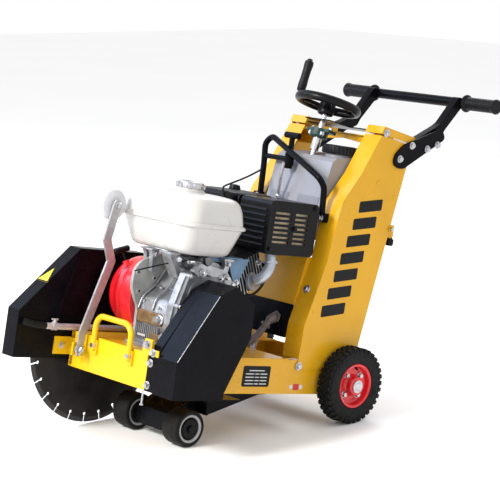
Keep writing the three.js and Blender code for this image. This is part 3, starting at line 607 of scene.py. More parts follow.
def front_fixings():
    """Bolts on the front plate and the two belt tension bolts beside it."""
    spots = facing(FRONT, (PLATE_FACE, 151, 36), (PLATE_FACE, 150, -18), (PLATE_FACE + 3.3, 160, 62))
    bolts("front_bolts", spots + facing(LEFT, (676, -167.8, 18)), 12, 7, 10)
    hanger = Shape().sweep([(640, 125, -32), (640, 125, -70)], 2.2, 4, 10)
    hanger.turned(tube(0, 5, 0, 3), (640, 125, -72), UP, 14)
    hanger.piece("belt_tension_bolt", ZINC)
    tension = Shape().rod((640, 136, 78), (668, 136, 78), 6)
    tension.hexagon((655, 136, 78), FRONT, 16, 9, 11)
    tension.piece("engine_tension_bolt", ZINC)
    ear = Shape().slab(soft(oblong(646, 655, 56, 92), 2), 122, 150)
    # The tension ear gets the lighter yellow: painted light.
    ear.piece("tension_ear", LIT_YELLOW, bevel=1.0)


def guard_details():
    """The belt guard's painted edge highlight and lip, and the blade guard's folds and plain triangle."""
    # Painted highlight: a thin bright zinc rod along the belt guard's front edge stands for the light caught
    # on that edge.
    run = [(651.5, GUARD_NEAR - 0.5, 56), (546, GUARD_NEAR - 0.5, 219)]
    Shape().sweep(run, 0.8, 2, 8).piece("belt_guard_edge_highlight", ZINC)
    Shape().box(424, 648, 171.5, 244, -36, -33.2).piece("belt_guard_lip", BLACK, bevel=0.6)
    fold = Shape().sweep([(665, -172.6, 215), (700, -172.6, 85), (712, -172.6, 20)], 1.0, 2, 8)
    fold.sweep([(818, -172.8, 100), (655, -172.8, 264), (443, -172.8, 264), (279, -172.8, 103)], 1.2, 2, 8)
    fold.piece("blade_guard_folds", BLACK)
    slope = (Vector((654, 0, 266)) - Vector((819, 0, 102))).normalized()
    out = Vector((slope.z, 0, -slope.x))
    centre = Vector((733, -194, 188)) + out * 0.4
    across = Vector(LEFT)

    def triangle(scale, lift):
        corners = [(0, 34), (-24, -20), (24, -20)]
        return [centre + slope * (b * scale) + across * (a * scale) + out * lift for a, b in corners]

    Shape().loft([triangle(1, 0), triangle(1, 0.5)]).piece("guard_triangle", SIGN)
    border = [triangle(1.0, 0.6), triangle(1.0, 0.75), triangle(0.80, 0.75), triangle(0.80, 0.6)]
    Shape().loft(border, ring=True).piece("guard_triangle_border", INK)


# ---- Running gear
TREAD_BLOCKS = 34
TYRE_HALF = [(59.4, -20), (62, -22.5), (68, -23), (80, -24.3), (90, -23.2), (96, -20.5), (98, -15)]
TYRE_PROFILE = TYRE_HALF + [(98.4, 0)] + mirrored(TYRE_HALF)
RIM_PROFILE = [
    (12.4, -27), (24, -27), (25, -24), (25, -12), (30, -8), (46, -9), (50, -20), (58, -22.5), (59.2, -21),
    (59.2, 21), (58, 22.5), (52, 20), (48, 8), (42, 5), (30, 6), (25, 12), (25, 26), (23, 28), (12.4, 28),
]


def tread(shape, y, radius, width, height, depth, turn):
    """One tyre block between two radii, set round the tyre by an angle."""
    c, s = math.cos(turn), math.sin(turn)

    def at(t, h, across):
        return (h * c - t * s, across, h * s + t * c)

    base, top = radius, radius + height
    loops = []
    for h, k in ((base - 2, 1.0), (top - 0.8, 0.92), (top, 0.8)):
        w, d = width * k, depth * k
        loops.append([at(-w, h, y - d), at(w, h, y - d), at(w, h, y + d), at(-w, h, y + d)])
    shape.loft(loops)


def rear_wheel(name, side):
    """A block-tread tyre on a red steel rim."""
    centre = (0, side * REAR_WHEEL_Y, 0)
    body = "rear_wheel_" + name
    tyre = Shape().turned(flipped(TYRE_PROFILE, side), centre, LEFT, 72)
    for i in range(TREAD_BLOCKS):
        for band, (offset, depth) in enumerate(((-16.5, 5.6), (-5.5, 4.2), (5.5, 4.2), (16.5, 5.6))):
            turn = 2 * math.pi * (i + 0.5 * (band % 2)) / TREAD_BLOCKS
            tread(tyre, centre[1] + offset, 97.6, 5.6, 3.9, depth, turn)
        for edge in (-1, 1):
            turn = 2 * math.pi * (i + (0 if edge < 0 else 0.5)) / TREAD_BLOCKS
            tread(tyre, centre[1] + edge * 21.8, 89.5, 5.2, 5.0, 2.6, turn)
    tyre.piece("tyre_" + name, RUBBER, ("rear_tyre_" + name,), body=body, slot="tyre_rubber")
    rim = Shape().turned(flipped(RIM_PROFILE, side), centre, LEFT, 64)
    rim.piece("rim_" + name, RED, ("rear_rim_" + name,), body=body, angle=28)
    nuts = [(36 * c, centre[1] + side * 6, 36 * s) for c, s in spokes(4, math.pi / 4)]
    bolts("rim_bolts_" + name, facing((0, side, 0), *nuts), 12, 7, 9, body=body)
    valve = Shape().rod((0, centre[1] + side * 8, 50), (3, centre[1] + side * 22, 44), 3.2, 12)
    valve.piece("valve_" + name, RUBBER, body=body)


def rear_axle():
    shape = Shape().across((0, 0), -235, 235, 12)
    for side in (1, -1):
        y = side * 234
        shape.turned([(0, 0), (17, 0), (17, 1.5), (11, 2.2), (9, 4), (0, 4.6)], (0, y, 0), (0, side, 0), 40)
    shape.piece("axle_bar", ZINC, ("rear_axle",))


ROLLER_HALF = [
    (10.4, -28), (24, -28), (25, -26), (25, -23), (27.5, -22), (29, -24), (34, -27), (36, -28.6), (43, -28.6),
    (46.2, -26), (47, -22),
]
ROLLER_PROFILE = ROLLER_HALF + mirrored(ROLLER_HALF)


def front_wheel(name, side):
    """A solid rubber roller with a pale ring on each face."""
    centre = on(FRONT_AXLE, side * FRONT_WHEEL_Y)
    body = "front_wheel_" + name
    wheel = Shape().turned(ROLLER_PROFILE, centre, LEFT, 64)
    wheel.piece("roller_" + name, RUBBER, ("front_wheel_" + name,), body=body)
    for tag, face in (("outer", side), ("inner", -side)):
        ring = [(29.2, 23.6), (29.6, 26.4), (33.0, 28.2), (35.4, 28.4), (35.6, 27.0), (33.6, 25.5)]
        shape = Shape().turned(flipped(ring, face), centre, LEFT, 56)
        shape.piece("roller_ring_%s_%s" % (name, tag), RING, body=body)
    cap = [(10.5, 27), (22, 27), (22.5, 28.4), (10.5, 28.8)]
    hub = Shape().turned(flipped(cap, side), centre, LEFT, 40)
    hub.piece("roller_hub_" + name, SATIN, body=body)


def swing_arm():
    refined("swing_arm", BLACK, 1.6, body="swing_arm")
    caps = Shape()
    for side in (1, -1):
        start = on(FRONT_AXLE, side * 132.8)
        caps.turned([(0, -3), (9, -3), (9.4, 0), (7.5, 1.6), (0, 2)], start, (0, side, 0), 28)
    caps.piece("front_axle_ends", SATIN, body="swing_arm")


# ---- Blade and drive
def segment_outline(i, inner, outer, gap):
    """One rim segment: an arc between two slots, with half of a round relief at each lower corner."""
    pitch = 2 * math.pi / BLADE_SEGMENTS
    start, stop = i * pitch, (i + 1) * pitch

    def at(r, t):
        return (SPINDLE[0] + r * math.cos(t), SPINDLE[1] + r * math.sin(t))

    def arc(r, clear):
        return [at(r, start + clear / r + (pitch - 2 * clear / r) * k / 6) for k in range(7)]

    right, left = [], []
    relieved = inner < RELIEF_AT
    for k in range(6 if relieved else 0):
        t = math.radians(20 + 32 * k)
        r, clear = RELIEF_AT + RELIEF_R * math.cos(t), max(RELIEF_R * math.sin(t), 0.15)
        right.append(at(r, stop - clear / r))
        left.append(at(r, start + clear / r))
    base = arc(inner, 0.1 if relieved else gap)
    return arc(outer, gap) + right + base[::-1] + left[::-1]


def blade():
    body, bore = circle(SPINDLE, 173, 144), circle(SPINDLE, 13.1, 144)
    disc = Shape().ring_plate(body, bore, BLADE_Y - DISC_HALF, BLADE_Y + DISC_HALF)
    for i in range(BLADE_SEGMENTS):
        disc.slab(segment_outline(i, 172.8, 189, SLOT_GAP), BLADE_Y - DISC_HALF, BLADE_Y + DISC_HALF)
    disc.piece("blade_disc", BLADE_STEEL, ("blade",), body="blade_drive")
    rim = Shape()
    for i in range(BLADE_SEGMENTS):
        rim.slab(segment_outline(i, 188, BLADE_R, SLOT_GAP), BLADE_Y - SEGMENT_HALF, BLADE_Y + SEGMENT_HALF)
    rim.piece("blade_segments", DIAMOND, body="blade_drive")


def drive():
    """Spindle, flanges, pulleys and belts."""
    shape = Shape().across(SPINDLE, BLADE_Y + 2.0, 224, 15, 40)
    flange = [(0, 0), (50, 0), (50, 3), (46, 7), (30, 11), (0, 11)]
    shape.turned(flange, on(SPINDLE, BLADE_Y + 2), LEFT, 56)
    shape.across(SPINDLE, -215, BLADE_Y + 3, 12.7, 32)
    shape.piece("spindle_bar", STEEL, ("blade_spindle",), body="blade_drive")
    plate = [(13.1, 0), (50, 0), (50, 2), (44, 5.5), (30, 6), (13.1, 6)]
    clamp = Shape().turned(plate, on(SPINDLE, BLADE_Y - 2), RIGHT, 56)
    clamp.hexagon(on(SPINDLE, -207.2), RIGHT, 38, 9)
    clamp.piece("arbor_clamp", STEEL, ("arbor_flange",), body="blade_drive")
    for node, body in (("spindle_pulley", "blade_drive"), ("engine_pulley", "engine_shaft")):
        refined(node, IRON, 0.5, body=body)
    refined("v_belts", RUBBER)


# ---- Engine
CASE = [
    (392, SEAT), (590, SEAT), (590, 74), (576, 90), (586, 116), (590, 146), (580, 178), (546, 204),
    (516, 251), (500, 282), (444, 285), (402, 262), (404, 196), (387, 150), (392, 86), (381, 72), (381, SEAT),
]
COVER = [(420, 74), (566, 74), (582, 128), (576, 174), (553, 250), (452, 250), (412, 194), (402, 130)]
FAN_FLANGE = [
    (500, 284), (559, 281), (600, 266), (619, 244), (621, 200), (606, 168), (594, 150), (590, 66), (540, 66),
]


def grown(outline, step):
    """An outline pushed out from its middle."""
    cx = sum(x for x, _ in outline) / len(outline)
    cz = sum(z for _, z in outline) / len(outline)
    out = []
    for x, z in outline:
        d = math.hypot(x - cx, z - cz)
        out.append((x + (x - cx) / d * step, z + (z - cz) / d * step))
    return out


def crankcase():
    case = Shape().slab(soft(CASE, 9), -4, 106)
    case.slab(soft(grown(COVER, 9), 7), 105, 126)
    near = Shape().slab(soft(grown(COVER, 3), 8), 126.3, 137)
    near.slab(soft(grown(COVER, -14), 20), 136, 139)
    near.piece("near_cover", CAST_DARK, bevel=1.2)
    for i in range(12):
        case.box(570, 590, 6 + i * 7, 9 + i * 7, 62, 112)
    for x0, x1 in ((384, 402), (580, 614)):
        case.box(x0, x1, -2, 128, SEAT, 68)
    case.across(CRANK, 136, 142, 38, 48)
    case.across(CRANK, 141, 149, 26, 48)
    for corner in COVER:
        case.across(corner, 104, 138, 7, 20)
    case.piece("case_casting", CAST, ("crankcase",), 1.6)
    bolts("case_bolts", facing(LEFT, *((x, 138, z) for x, z in COVER)), 8, 5, 6.5)
    ribs = Shape()
    for c, s in spokes(10, 0.2):
        corners = ((36, 36, 2), (62, 60, 2), (62, 60, -2), (36, 36, -2))
        line = [(CRANK[0] + rx * c - w * s, CRANK[1] + rz * s + w * c) for rx, rz, w in corners]
        ribs.slab(line, 138, 141.5)
    ribs.piece("case_ribs", CAST, bevel=0.8)


def case_front():
    """The flange plate, lips, plugs and stained sump band on the crankcase's front."""
    flange = Shape().slab(soft(FAN_FLANGE, 14), -4.4, 5)
    rim = [(607, 237), (566, 268), (553, 224), (597, 190)]
    holes = Shape()
    for boss in rim:
        flange.across(boss, -4.6, 7, 8, 24)
        holes.across(boss, 6.6, 7.3, 3.2, 16)
    flange.piece("fan_flange", CAST_PLATE, bevel=1.6)
    holes.piece("flange_holes", SATIN, slot="cast_alloy")
    edge = [(505, 8, 268), (520, 8, 251), (549, 8, 206), (583, 8, 181), (593, 8, 148)]
    lips = Shape().sweep(edge, 3.4, 16, 12)
    lips.sweep([(520, 60, 258), (552, 60, 208), (586, 60, 180), (592, 60, 150)], 2.2, 16, 10)
    lips.sweep([(549, 10, 207), (549, 100, 207)], 2.2, 6, 10)
    lips.box(583, 592, 30, 58, 150, 172)
    lips.piece("case_lips", CAST, bevel=0.8)
    spots = [((590, 24, 168), (1, 0, 0.2)), ((591, 84, 160), (1, 0, 0.2)), ((556, 40, 206), (0.6, 0, 0.8))]
    bolts("front_cover_bolts", spots, 8, 4, 0)
    plugs = Shape()
    for x, y, z in ((586, 92, 132), (574, 108, 92)):
        plugs.turned([(0, -6), (13, -6), (13, 8), (10, 10), (10, 16), (0, 16)], (x, y, z), FRONT, 28)
        plugs.hexagon((x + 16, y, z), FRONT, 15, 7)
    plugs.piece("oil_plugs", ZINC)
    band = Shape().box(570, 592.4, 6, 98, 116, 147)
    band.box(570, 592, 60, 112, 78, 96)
    band.piece("sump_band", BRASS_STAIN, bevel=3.0)
    Shape().box(591, 592, 16, 46, 82, 88).piece("case_tag", PALE_INK, bevel=0.4)


def stay(shape, top, foot, y0, y1):
    """A tapering cast leg between the crankcase and the fuel tank."""
    (tx, tz), (fx, fz) = top, foot
    line = [(tx - 14, tz), (tx + 14, tz), (tx + 7, tz - 14), (fx + 11, fz), (fx - 11, fz), (tx - 7, tz - 14)]
    shape.slab(soft(line, 5), y0, y1)
    pad = [(tx - 16, tz - 3), (tx + 16, tz - 3), (tx + 16, tz + 2), (tx - 16, tz + 2)]
    shape.slab(soft(pad, 1.5), y0 - 5, y1 + 5)


def engine_linkage():
    """Cast legs, carburettor, governor rod and spring, and breather hose under the tank."""
    legs = Shape()
    for top, foot, y0, y1 in (((576, 298), (540, 236), 58, 92), ((576, 297), (570, 240), 8, 22),
                              ((570, 297), (562, 244), -22, -10), ((418, 295), (428, 246), 104, 118)):
        stay(legs, top, foot, y0, y1)
    legs.slab(soft([(548, 262), (524, 284), (498, 274), (520, 246)], 8), 124, 138)
    legs.slab(soft([(500, 280), (436, 270), (410, 244), (416, 228), (446, 246), (500, 256)], 8), 124, 136)
    legs.across((516, 260), 118, 142, 11, 28)
    legs.across((436, 252), 118, 142, 10, 28)
    legs.sweep([(516, 132, 260), (474, 130, 276), (436, 132, 252)], 3.6, 20, 12)
    legs.piece("case_legs", CAST, bevel=1.6)
    spots = [(516, 142, 260), (436, 142, 252), (572, 106, 286)]
    spots += [(576, 22, 286), (418, 118, 284), (404, 128, 236)]
    bolts("leg_bolts", facing(LEFT, *spots), 10, 6, 7)
    rod = Shape().sweep([(650, 40, 243), (600, 62, 262), (560, 78, 276), (530, 96, 284)], 1.8, 10, 8)
    rod.sweep([(530, 96, 286), (498, 112, 286), (470, 118, 268)], 1.6, 10, 8)
    rod.piece("governor_rod", SATIN)
    bowl = [(0, 0), (26, 0), (28, 4), (28, 26), (20, 32), (0, 34)]
    body = Shape().turned(bowl, (500, 60, 264), UP, 32)
    body.turned([(0, 0), (17, 0), (17, 12), (12, 16), (0, 16)], (484, 92, 284), LEFT, 32)
    body.box(446, 476, 58, 104, 272, 290)
    body.slab(soft([(470, 278), (488, 276), (494, 296), (480, 299), (464, 292)], 4), 112, 116)
    body.piece("carburettor", CAST_DARK, bevel=1.4)
    turns, steps = 11, 12
    coil = spokes(steps) * turns + spokes(1)
    route = [(546 - i * 0.36, 112 + 4 * c, 282 + 4 * s) for i, (c, s) in enumerate(coil)]
    Shape().sweep(route, 0.8, 0.4, 6).piece("governor_spring", ZINC)
    hose = [(440, 60, 284), (430, 76, 300), (402, 96, 306), (372, 90, 318)]
    Shape().sweep(hose, 6, 20, 14).piece("breather_hose", RUBBER)


FIN_COUNT = 14
FIRST_FIN = 131
FIN_PITCH = 8.8
FIN_THICK = 2.6


def cylinder_and_head():
    """The cylinder leans back along its own axis, so its parts are built upright and then moved."""
    m = Matrix.Translation(on(CRANK, 10)) @ Matrix.Rotation(-math.atan2(117, -248), 4, "Y")
    fins, edges = Shape(), Shape()
    for i in range(FIN_COUNT):
        t = FIRST_FIN + i * FIN_PITCH
        end = t + FIN_THICK
        fins.slab(soft(oblong(t, end, -44, 44), 0.9, 2), -72, 82)
        edges.box(t, end, 81.6, 82.4, -44.4, 44.4)
    Shape().box(128, 254, -52, 62, -34, 34).moved(m).piece("cylinder_core", FIN, bevel=2.0)
    fins.moved(m).piece("cylinder_fins", FIN, ("cylinder",))
    edges.moved(m).piece("fin_edges", CAST)
    head = Shape().slab(soft(oblong(254.3, 262, -38, 38), 2), -52, 62)
    head.pillow(261, 291.5, -56, 6, -33, 32, 12, 6)
    head.moved(m).piece("head_cover", CAST, ("rocker_cover",), 1.2)
    stud = Shape()
    for s in (-28, 28):
        stud.hexagon((262, 44, s), FRONT, 11, 6, 9)
    stud.hexagon((240, 82, -20), LEFT, 10, 7, 9)
    stud.moved(m).piece("head_studs", ZINC)
    plug = Shape().sweep([(252, 60, 282), (258, 92, 288), (262, 108, 268)], 7, 16, 14)
    plug.sweep([(262, 108, 268), (300, 118, 216), (360, 112, 196)], 3.2, 30, 10)
    plug.piece("spark_lead", RUBBER)


def covers():
    """The red fan cover and the recoil starter on it."""
    profile = [(0, 1), (108, 1), (112, 5), (112, 44), (108, 54), (98, 63), (80, 69), (0, 69.6)]
    fan = Shape().turned(profile, on(CRANK, -5), RIGHT, 72)
    fan.slab(soft([(400, 190), (470, 270), (430, 292), (352, 270), (372, 215)], 10), -74.6, -63)
    fan.piece("fan_shroud", RED, ("fan_cover",), 1.0)
    lip = Shape().turned(tube(109, 115, 0, 5), on(CRANK, -6), RIGHT, 72)
    ears = circle(CRANK, 112, 6, 0.35)
    for x, z in ears:
        lip.turned(tube(0, 9, 0, 8), (x, -6, z), RIGHT, 20)
    lip.piece("fan_lip", RED, bevel=0.8)
    bolts("fan_bolts", facing(RIGHT, *((x, -14, z) for x, z in ears)), 8, 4, 6)
    profile = [(0, 0.5), (90, 0.5), (92, 4), (92, 38), (86, 50), (78, 57), (50, 60), (42, 70)]
    profile += [(34, 73.5), (0, 74)]
    recoil = Shape().turned(profile, on(CRANK, -75), RIGHT, 72)
    recoil.rod(pull_point(5), pull_point(24), 9, 24)
    recoil.piece("recoil_housing", RED, ("recoil_starter",))
    vents = Shape()
    outer = ((56, -3.4, -135.2), (74, -4.6, -132.6), (74, 4.6, -132.6), (56, 3.4, -135.2))
    inner = ((56, -3.4, -134), (74, -4.6, -131), (74, 4.6, -131), (56, 3.4, -134))
    for c, s in spokes(16):
        vents.loft([
            [(CRANK[0] + r * c - w * s, y, CRANK[1] + r * s + w * c) for r, w, y in corners]
            for corners in (outer, inner)
        ])
    vents.piece("recoil_vents", SATIN)


PULL = Vector((0.25, -0.43, 0.8675))


def pull_point(t):
    """A point on the starter rope's line."""
    return tuple(Vector((548, -104, 228)) + PULL * t)


def starter_grip():
    end = Vector(pull_point(54))
    along = Vector((0.961, 0, -0.277))
    grip = Shape().rod(end - along * 24, end + along * 24, 8, 24, 3)
    grip.rod(pull_point(47), pull_point(58), 5, 16)
    grip.piece("pull_grip", PLASTIC, ("starter_grip",), body="starter_grip")
    Shape().rod(pull_point(8), pull_point(50), 2.2, 10).piece("pull_rope", GRIP, body="starter_grip")


def fuel_tank():
    x0, x1, y0, y1 = 391, 604, -127, 163
    levels = [(300, 44, 34), (301.5, 36, 36), (306, 29, 38), (314, 24.5, 39), (340, 16, 41), (362, 9, 43)]
    levels += [(370, 6.5, 44), (372, 1.2, 46), (373.6, 0, 46), (378.4, 0, 46), (380, 1.2, 46)]
    levels += [(382, 5.5, 44), (400, 8, 44), (416, 10.5, 44), (430, 15, 43), (438, 20, 42), (443, 26, 42)]
    levels += [(446, 34, 42), (448.5, 48, 42), (450, 66, 38), (450.5, 84, 20)]
    shape = Shape().loft([rectangle(x0 + d, x1 - d, y0 + d, y1 - d, r, 0, z, 10) for z, d, r in levels])
    shape.turned([(0, 0), (38, 0), (38, 6), (34, 8), (34, 12), (0, 12)], (*FUEL_CAP, 447), UP, 48)
    shape.piece("tank_shell", WHITE, ("fuel_tank",), angle=50)
    profile = [(0, -6), (33, -6), (34, -4), (34, 7), (31, 12), (25, 14), (23.5, 12), (0, 12)]
    cap = Shape().turned(profile, (*FUEL_CAP, 462.4), UP, 48)
    for lobe in circle(FUEL_CAP, 31, 8):
        cap.rod((*lobe, 458), (*lobe, 472), 7, 16, 2)
    cap.piece("tank_cap", ZINC, ("fuel_cap",), body="fuel_cap", slot="black_plastic")
    dish = Shape().turned([(0, 0), (22, 0), (22, 1.2), (18, 2.4), (0, 1.8)], (*FUEL_CAP, 474), UP, 40)
    dish.piece("cap_dish", SATIN, body="fuel_cap", slot="black_plastic")
    refined("tank_bracket", SLATE)
    bolts("bracket_bolt", [((366, 102, 238), LEFT)], 10, 6, 8)


SLOT_PITCH = 12.3
SLAT = 6.8


def muffler():
    """Exhaust pipe, muffler with its slotted guard, and the air cleaner behind them."""
    bend = [(284, 112, 345), (276, 122, 312), (281, 130, 286), (293, 122, 258), (301, 104, 246)]
    pipe = Shape().sweep(bend, 14.2, 26, 28)
    pipe.turned(tube(0, 24, 0, 7), (303, 97, 243), (0.25, -1, -0.2), 28)
    pipe.turned(tube(14.2, 19, -3, 3), (278.5, 126, 298), (0, 0.15, -1), 28)
    pipe.piece("exhaust", EXHAUST, ("muffler",))
    Shape().pillow(172, 316, 34, 143, 330, 449, 14, 4).piece("muffler_can", HEAT_TAN)
    rim = soft(oblong(155, 328, 321, 458), 14)
    bore = soft(oblong(158, 325, 324, 455), 11)
    guard = Shape().ring_plate(rim, bore, 36, 147).slab(rim, 22, 26)
    guard.box(252, 311, 84, 144, 319.8, 321.2)
    guard.piece("guard_shell", SATIN, ("muffler_guard",), 0.8)
    face = Shape().ring_plate(rim, soft(oblong(180, 316, 346, 434), 3), 146, 149)
    for x0, x1 in ((179, 189), (236, 250), (308, 317)):
        face.box(x0, x1, 146, 149, 345, 435)
    for row in range(8):
        z = 350 + SLOT_PITCH * row
        for x0, x1 in ((188, 237), (249, 309)):
            face.box(x0, x1, 146.2, 148.9, z - SLAT, z)
    face.piece("guard_face", SATIN, bevel=0.3)
    louvres = Shape()
    for row in range(7):
        z = 338 + row * 15
        louvres.slab([(327.5, z), (331.5, z + 1), (331.5, z + 3), (327.5, z + 8)], 36, 136)
    louvres.piece("guard_louvres", SATIN, bevel=0.6)
    spots = facing(LEFT, (236, 149, 390), (168, 149, 448), (314, 149, 334))
    bolts("guard_bolts", spots, 10, 5, 8, finish=INK)
    cleaner = Shape().pillow(168, 346, -146, 4, 392, 460, 28, 12, 4)
    cleaner.pillow(174, 340, -141, -1, 372, 390.5, 26, 4)
    cleaner.pillow(180, 334, -136, -6, 340, 374, 20, 6)
    cleaner.box(300, 336, -70, -20, 326, 350)
    cleaner.piece("air_box", PLASTIC, ("air_cleaner",))
    profile = [(0, 0), (15, 0), (16, 3), (13, 12), (6, 14), (0, 14)]
    Shape().turned(profile, (257, -71, 463), UP, 24).piece("air_box_knob", SATIN, slot="black_plastic")


# ---- Depth control, hoop and clamp
CRANK_PIN = (57.3, -57.3)


def handwheel():
    """Handwheel, crank grip, lift screw and nut."""
    ring = [(HANDWHEEL_R + 9.6 * c, 11.8 * s) for c, s in spokes(20)]
    wheel = Shape().turned(ring, HUB, SCREW_UP, 72)
    for c, s in spokes(3, math.pi / 4):
        loops = []
        for r, w, h0, h1 in ((14, 13, -20, -4), (34, 10, -11, 0), (56, 8.5, -6, 3), (80, 9, -4.5, 4.5)):
            loops.append([screw_local(r * c - w * a * s, r * s + w * a * c, h)
                          for a, h in ((-1, h0), (1, h0), (1, h1), (-1, h1))])
        wheel.loft(loops)
    wheel.turned([(8.4, -30), (19, -30), (22, -26), (22, 0), (18, 6), (8.4, 6)], HUB, SCREW_UP, 40)
    wheel.piece("handwheel_casting", SATIN, ("handwheel",), 1.2, body="depth_wheel")
    pin = Shape().rod(screw_local(*CRANK_PIN, 4), screw_local(*CRANK_PIN, 104), 4, 16)
    pin.turned([(0, 0), (7, 0), (7, 3), (4, 4.6), (0, 4.6)], screw_local(*CRANK_PIN, 99.6), SCREW_UP, 20)
    pin.piece("crank_pin", SATIN, body="depth_wheel")
    knob = [(0, -2), (7, -2), (7, 4), (10, 6), (10.5, 11), (7.5, 15.5), (0, 17)]
    button = Shape().turned(knob, screw_local(-58, -57, 8), SCREW_UP, 28)
    button.piece("wheel_button", PLASTIC, body="depth_wheel")
    grip = [(4.4, 12.4), (9.5, 12.4), (11.4, 16), (12.2, 30), (11.2, 52), (11.4, 70)]
    grip += [(12.6, 88), (11.6, 96), (8, 99), (4.4, 99)]
    sleeve = Shape().turned(grip, screw_local(*CRANK_PIN, 0), SCREW_UP, 32)
    sleeve.piece("crank_sleeve", PLASTIC, ("crank_grip",), body="crank_grip")
    screw = Shape().rod(screw_local(0, 0, -758), screw_local(0, 0, 14), 7.4, 24)
    screw.hexagon(screw_local(0, 0, 7), SCREW_UP, 24, 14, 16)
    screw.turned(tube(0, 12, -128, -96), HUB, SCREW_UP, 28)
    screw.piece("screw_bar", ZINC, ("lift_screw",), body="depth_wheel")
    thread(5.0, 46).piece("screw_thread", ZINC, body="depth_wheel")
    refined("lift_nut", STEEL, 1.0, body="lift_nut")
    spots = [(screw_local(-5, s * 32, -70), tuple(SCREW_UP)) for s in (-1, 1)]
    spots += [(screw_local(8, s * 20, -84), (1, 0, 0.2)) for s in (-1, 1)]
    bolts("bearing_bolts", spots, 11, 6, 8)


def screw_local(x, y, h):
    """A point beside the screw line: x forward in the wheel's plane, y left, h along the screw."""
    forward = Vector((0.978, 0, 0.21)).normalized()
    return tuple(Vector(HUB) + forward * x + Vector((0, y, 0)) + SCREW_UP * h)


def thread(pitch, turns):
    """A helical ridge over the screw's working length, ending above the nut's lowest place."""
    ridge = ((7.2, -1.6), (7.95, -0.4), (7.95, 0.4), (7.2, 1.6))
    steps = 14
    rows = []
    for i, (c, s) in enumerate(spokes(steps) * turns + spokes(1)):
        h = -756 + pitch * i / steps
        rows.append([screw_local(r * c, r * s, h + d) for r, d in ridge])
    return Shape().loft(rows)


def hoop():
    """The hoop over the screw with its clamp, throttle lever and cable."""
    route = [(122, 128, 431), (128, 128, 506), (140, 116, 528), (122, -98, 617), (126, -118, 596),
             (120, -118, 548), (114, -121, 456)]
    bar = Shape().sweep(route, 8.3, 24, 20)
    bar.rod((121, -118, 562), (117, -28, 562), 7, 20)
    bar.turned(tube(8.6, 13, 0, 34), (*CLAMP_AT, 545), UP, 28)
    for y, z in ((128, 430), (-122, 456)):
        bar.box(109, 126, y - 13, y + 13, z - 16, z + 8)
    bar.piece("hoop_tube", BLACK, ("lifting_hoop",), 1.2)
    bolts("hoop_bolts", facing((1, 0, 0.1), (126, 128, 424), (126, -122, 450)), 13, 7, 11)
    screw = Shape().rod((*CLAMP_AT, 538), (*CLAMP_AT, 626), 7.6, 24)
    cx, cy = CLAMP_AT
    screw.rod((cx, cy - 28, 626), (cx, cy + 28, 626), 8.5, 24, 3)
    screw.rod((*CLAMP_AT, 537), (*CLAMP_AT, 544.5), 10.6, 24)
    screw.piece("clamp_screw", BLACK, ("clamp_handle",), body="clamp_handle")
    lever = Shape().sweep([(134, -28, 552), (134, -32, 520), (129, -38, 470)], 4.4, 14, 16)
    lever.turned([(0, -8), (5, -6.5), (8, -2), (8, 2), (5, 6.5), (0, 8)], (128, -38, 461), (0.3, 1, 0), 24)
    lever.piece("throttle_lever", ZINC)
    cable = [(352, 30, 300), (352, -6, 440), (346, -20, 468)]
    cable += [(330, -30, 472), (204, -88, 498), (133, -108, 524)]
    Shape().sweep(cable, 2.6, 40, 12).piece("cable_sheath", RUBBER, ("throttle_cable",))


# ---- Handlebar
HANDLE_ARM = [
    (-150, 637), (-143, 660), (-228, 708), (-242, 718), (-300, 797), (-331, 794), (-331, 772), (-316, 769),
    (-261, 701), (-252, 682),
]
HANDLE_ARM_ROOT = [(-152, 642), (-152, 652), (-226, 695), (-243, 690), (-247, 680)]
HANDLE_PLATE = [
    (-86, 580), (-66, 590), (-66, 614), (-100, 648), (-134, 660), (-228, 700), (-246, 697), (-257, 676),
    (-108, 581),
]
HANDLE_BOLTS = ((-87, 606), (-127, 646), (-189, 643), (-228, 658))


def handlebar():
    body = "handlebar"
    bar = Shape().across(BAR, -BAR_HALF + 4, BAR_HALF - 4, 14, 40)
    for side in (1, -1):
        bar.slab(soft(HANDLE_ARM, 6), *sided(side, 148, 170))
        bar.slab(HANDLE_ARM_ROOT, *sided(side, 165, TOWER_OUT))
    bar.piece("handle_frame", BLACK, ("handlebar",), 2.2, body=body)
    for name, side in (("left", 1), ("right", -1)):
        plate = Shape().slab(soft(HANDLE_PLATE, 14), *sided(side, TOWER_OUT + 0.3, BRACKET_OUT))
        plate.piece("handle_plate_" + name, BLACK, ("handle_bracket_" + name,), 1.0, body=body)
        spots = facing((0, side, 0), *((x, side * BRACKET_OUT, z) for x, z in HANDLE_BOLTS))
        bolts("handle_bolts_" + name, spots, 13, 6, 10, body=body)
        grip_profile = [(14.4, 0), (23, 0), (24, 2), (24, 5), (21, 8), (18, 10)]
        for k in range(9):
            h = 16 + k * 9.6
            grip_profile += [(18.2, h - 2.6), (17.2, h), (18.2, h + 2.6)]
        grip_profile += [(18.2, 101), (20.5, 105), (20.5, 109), (17, 113.6), (0, 114), (0, 108.8)]
        solid = Shape().turned(grip_profile, on(BAR, side * 171), (0, side, 0), 40)
        solid.piece("grip_" + name, GRIP, ("handle_grip_" + name,), body=body)


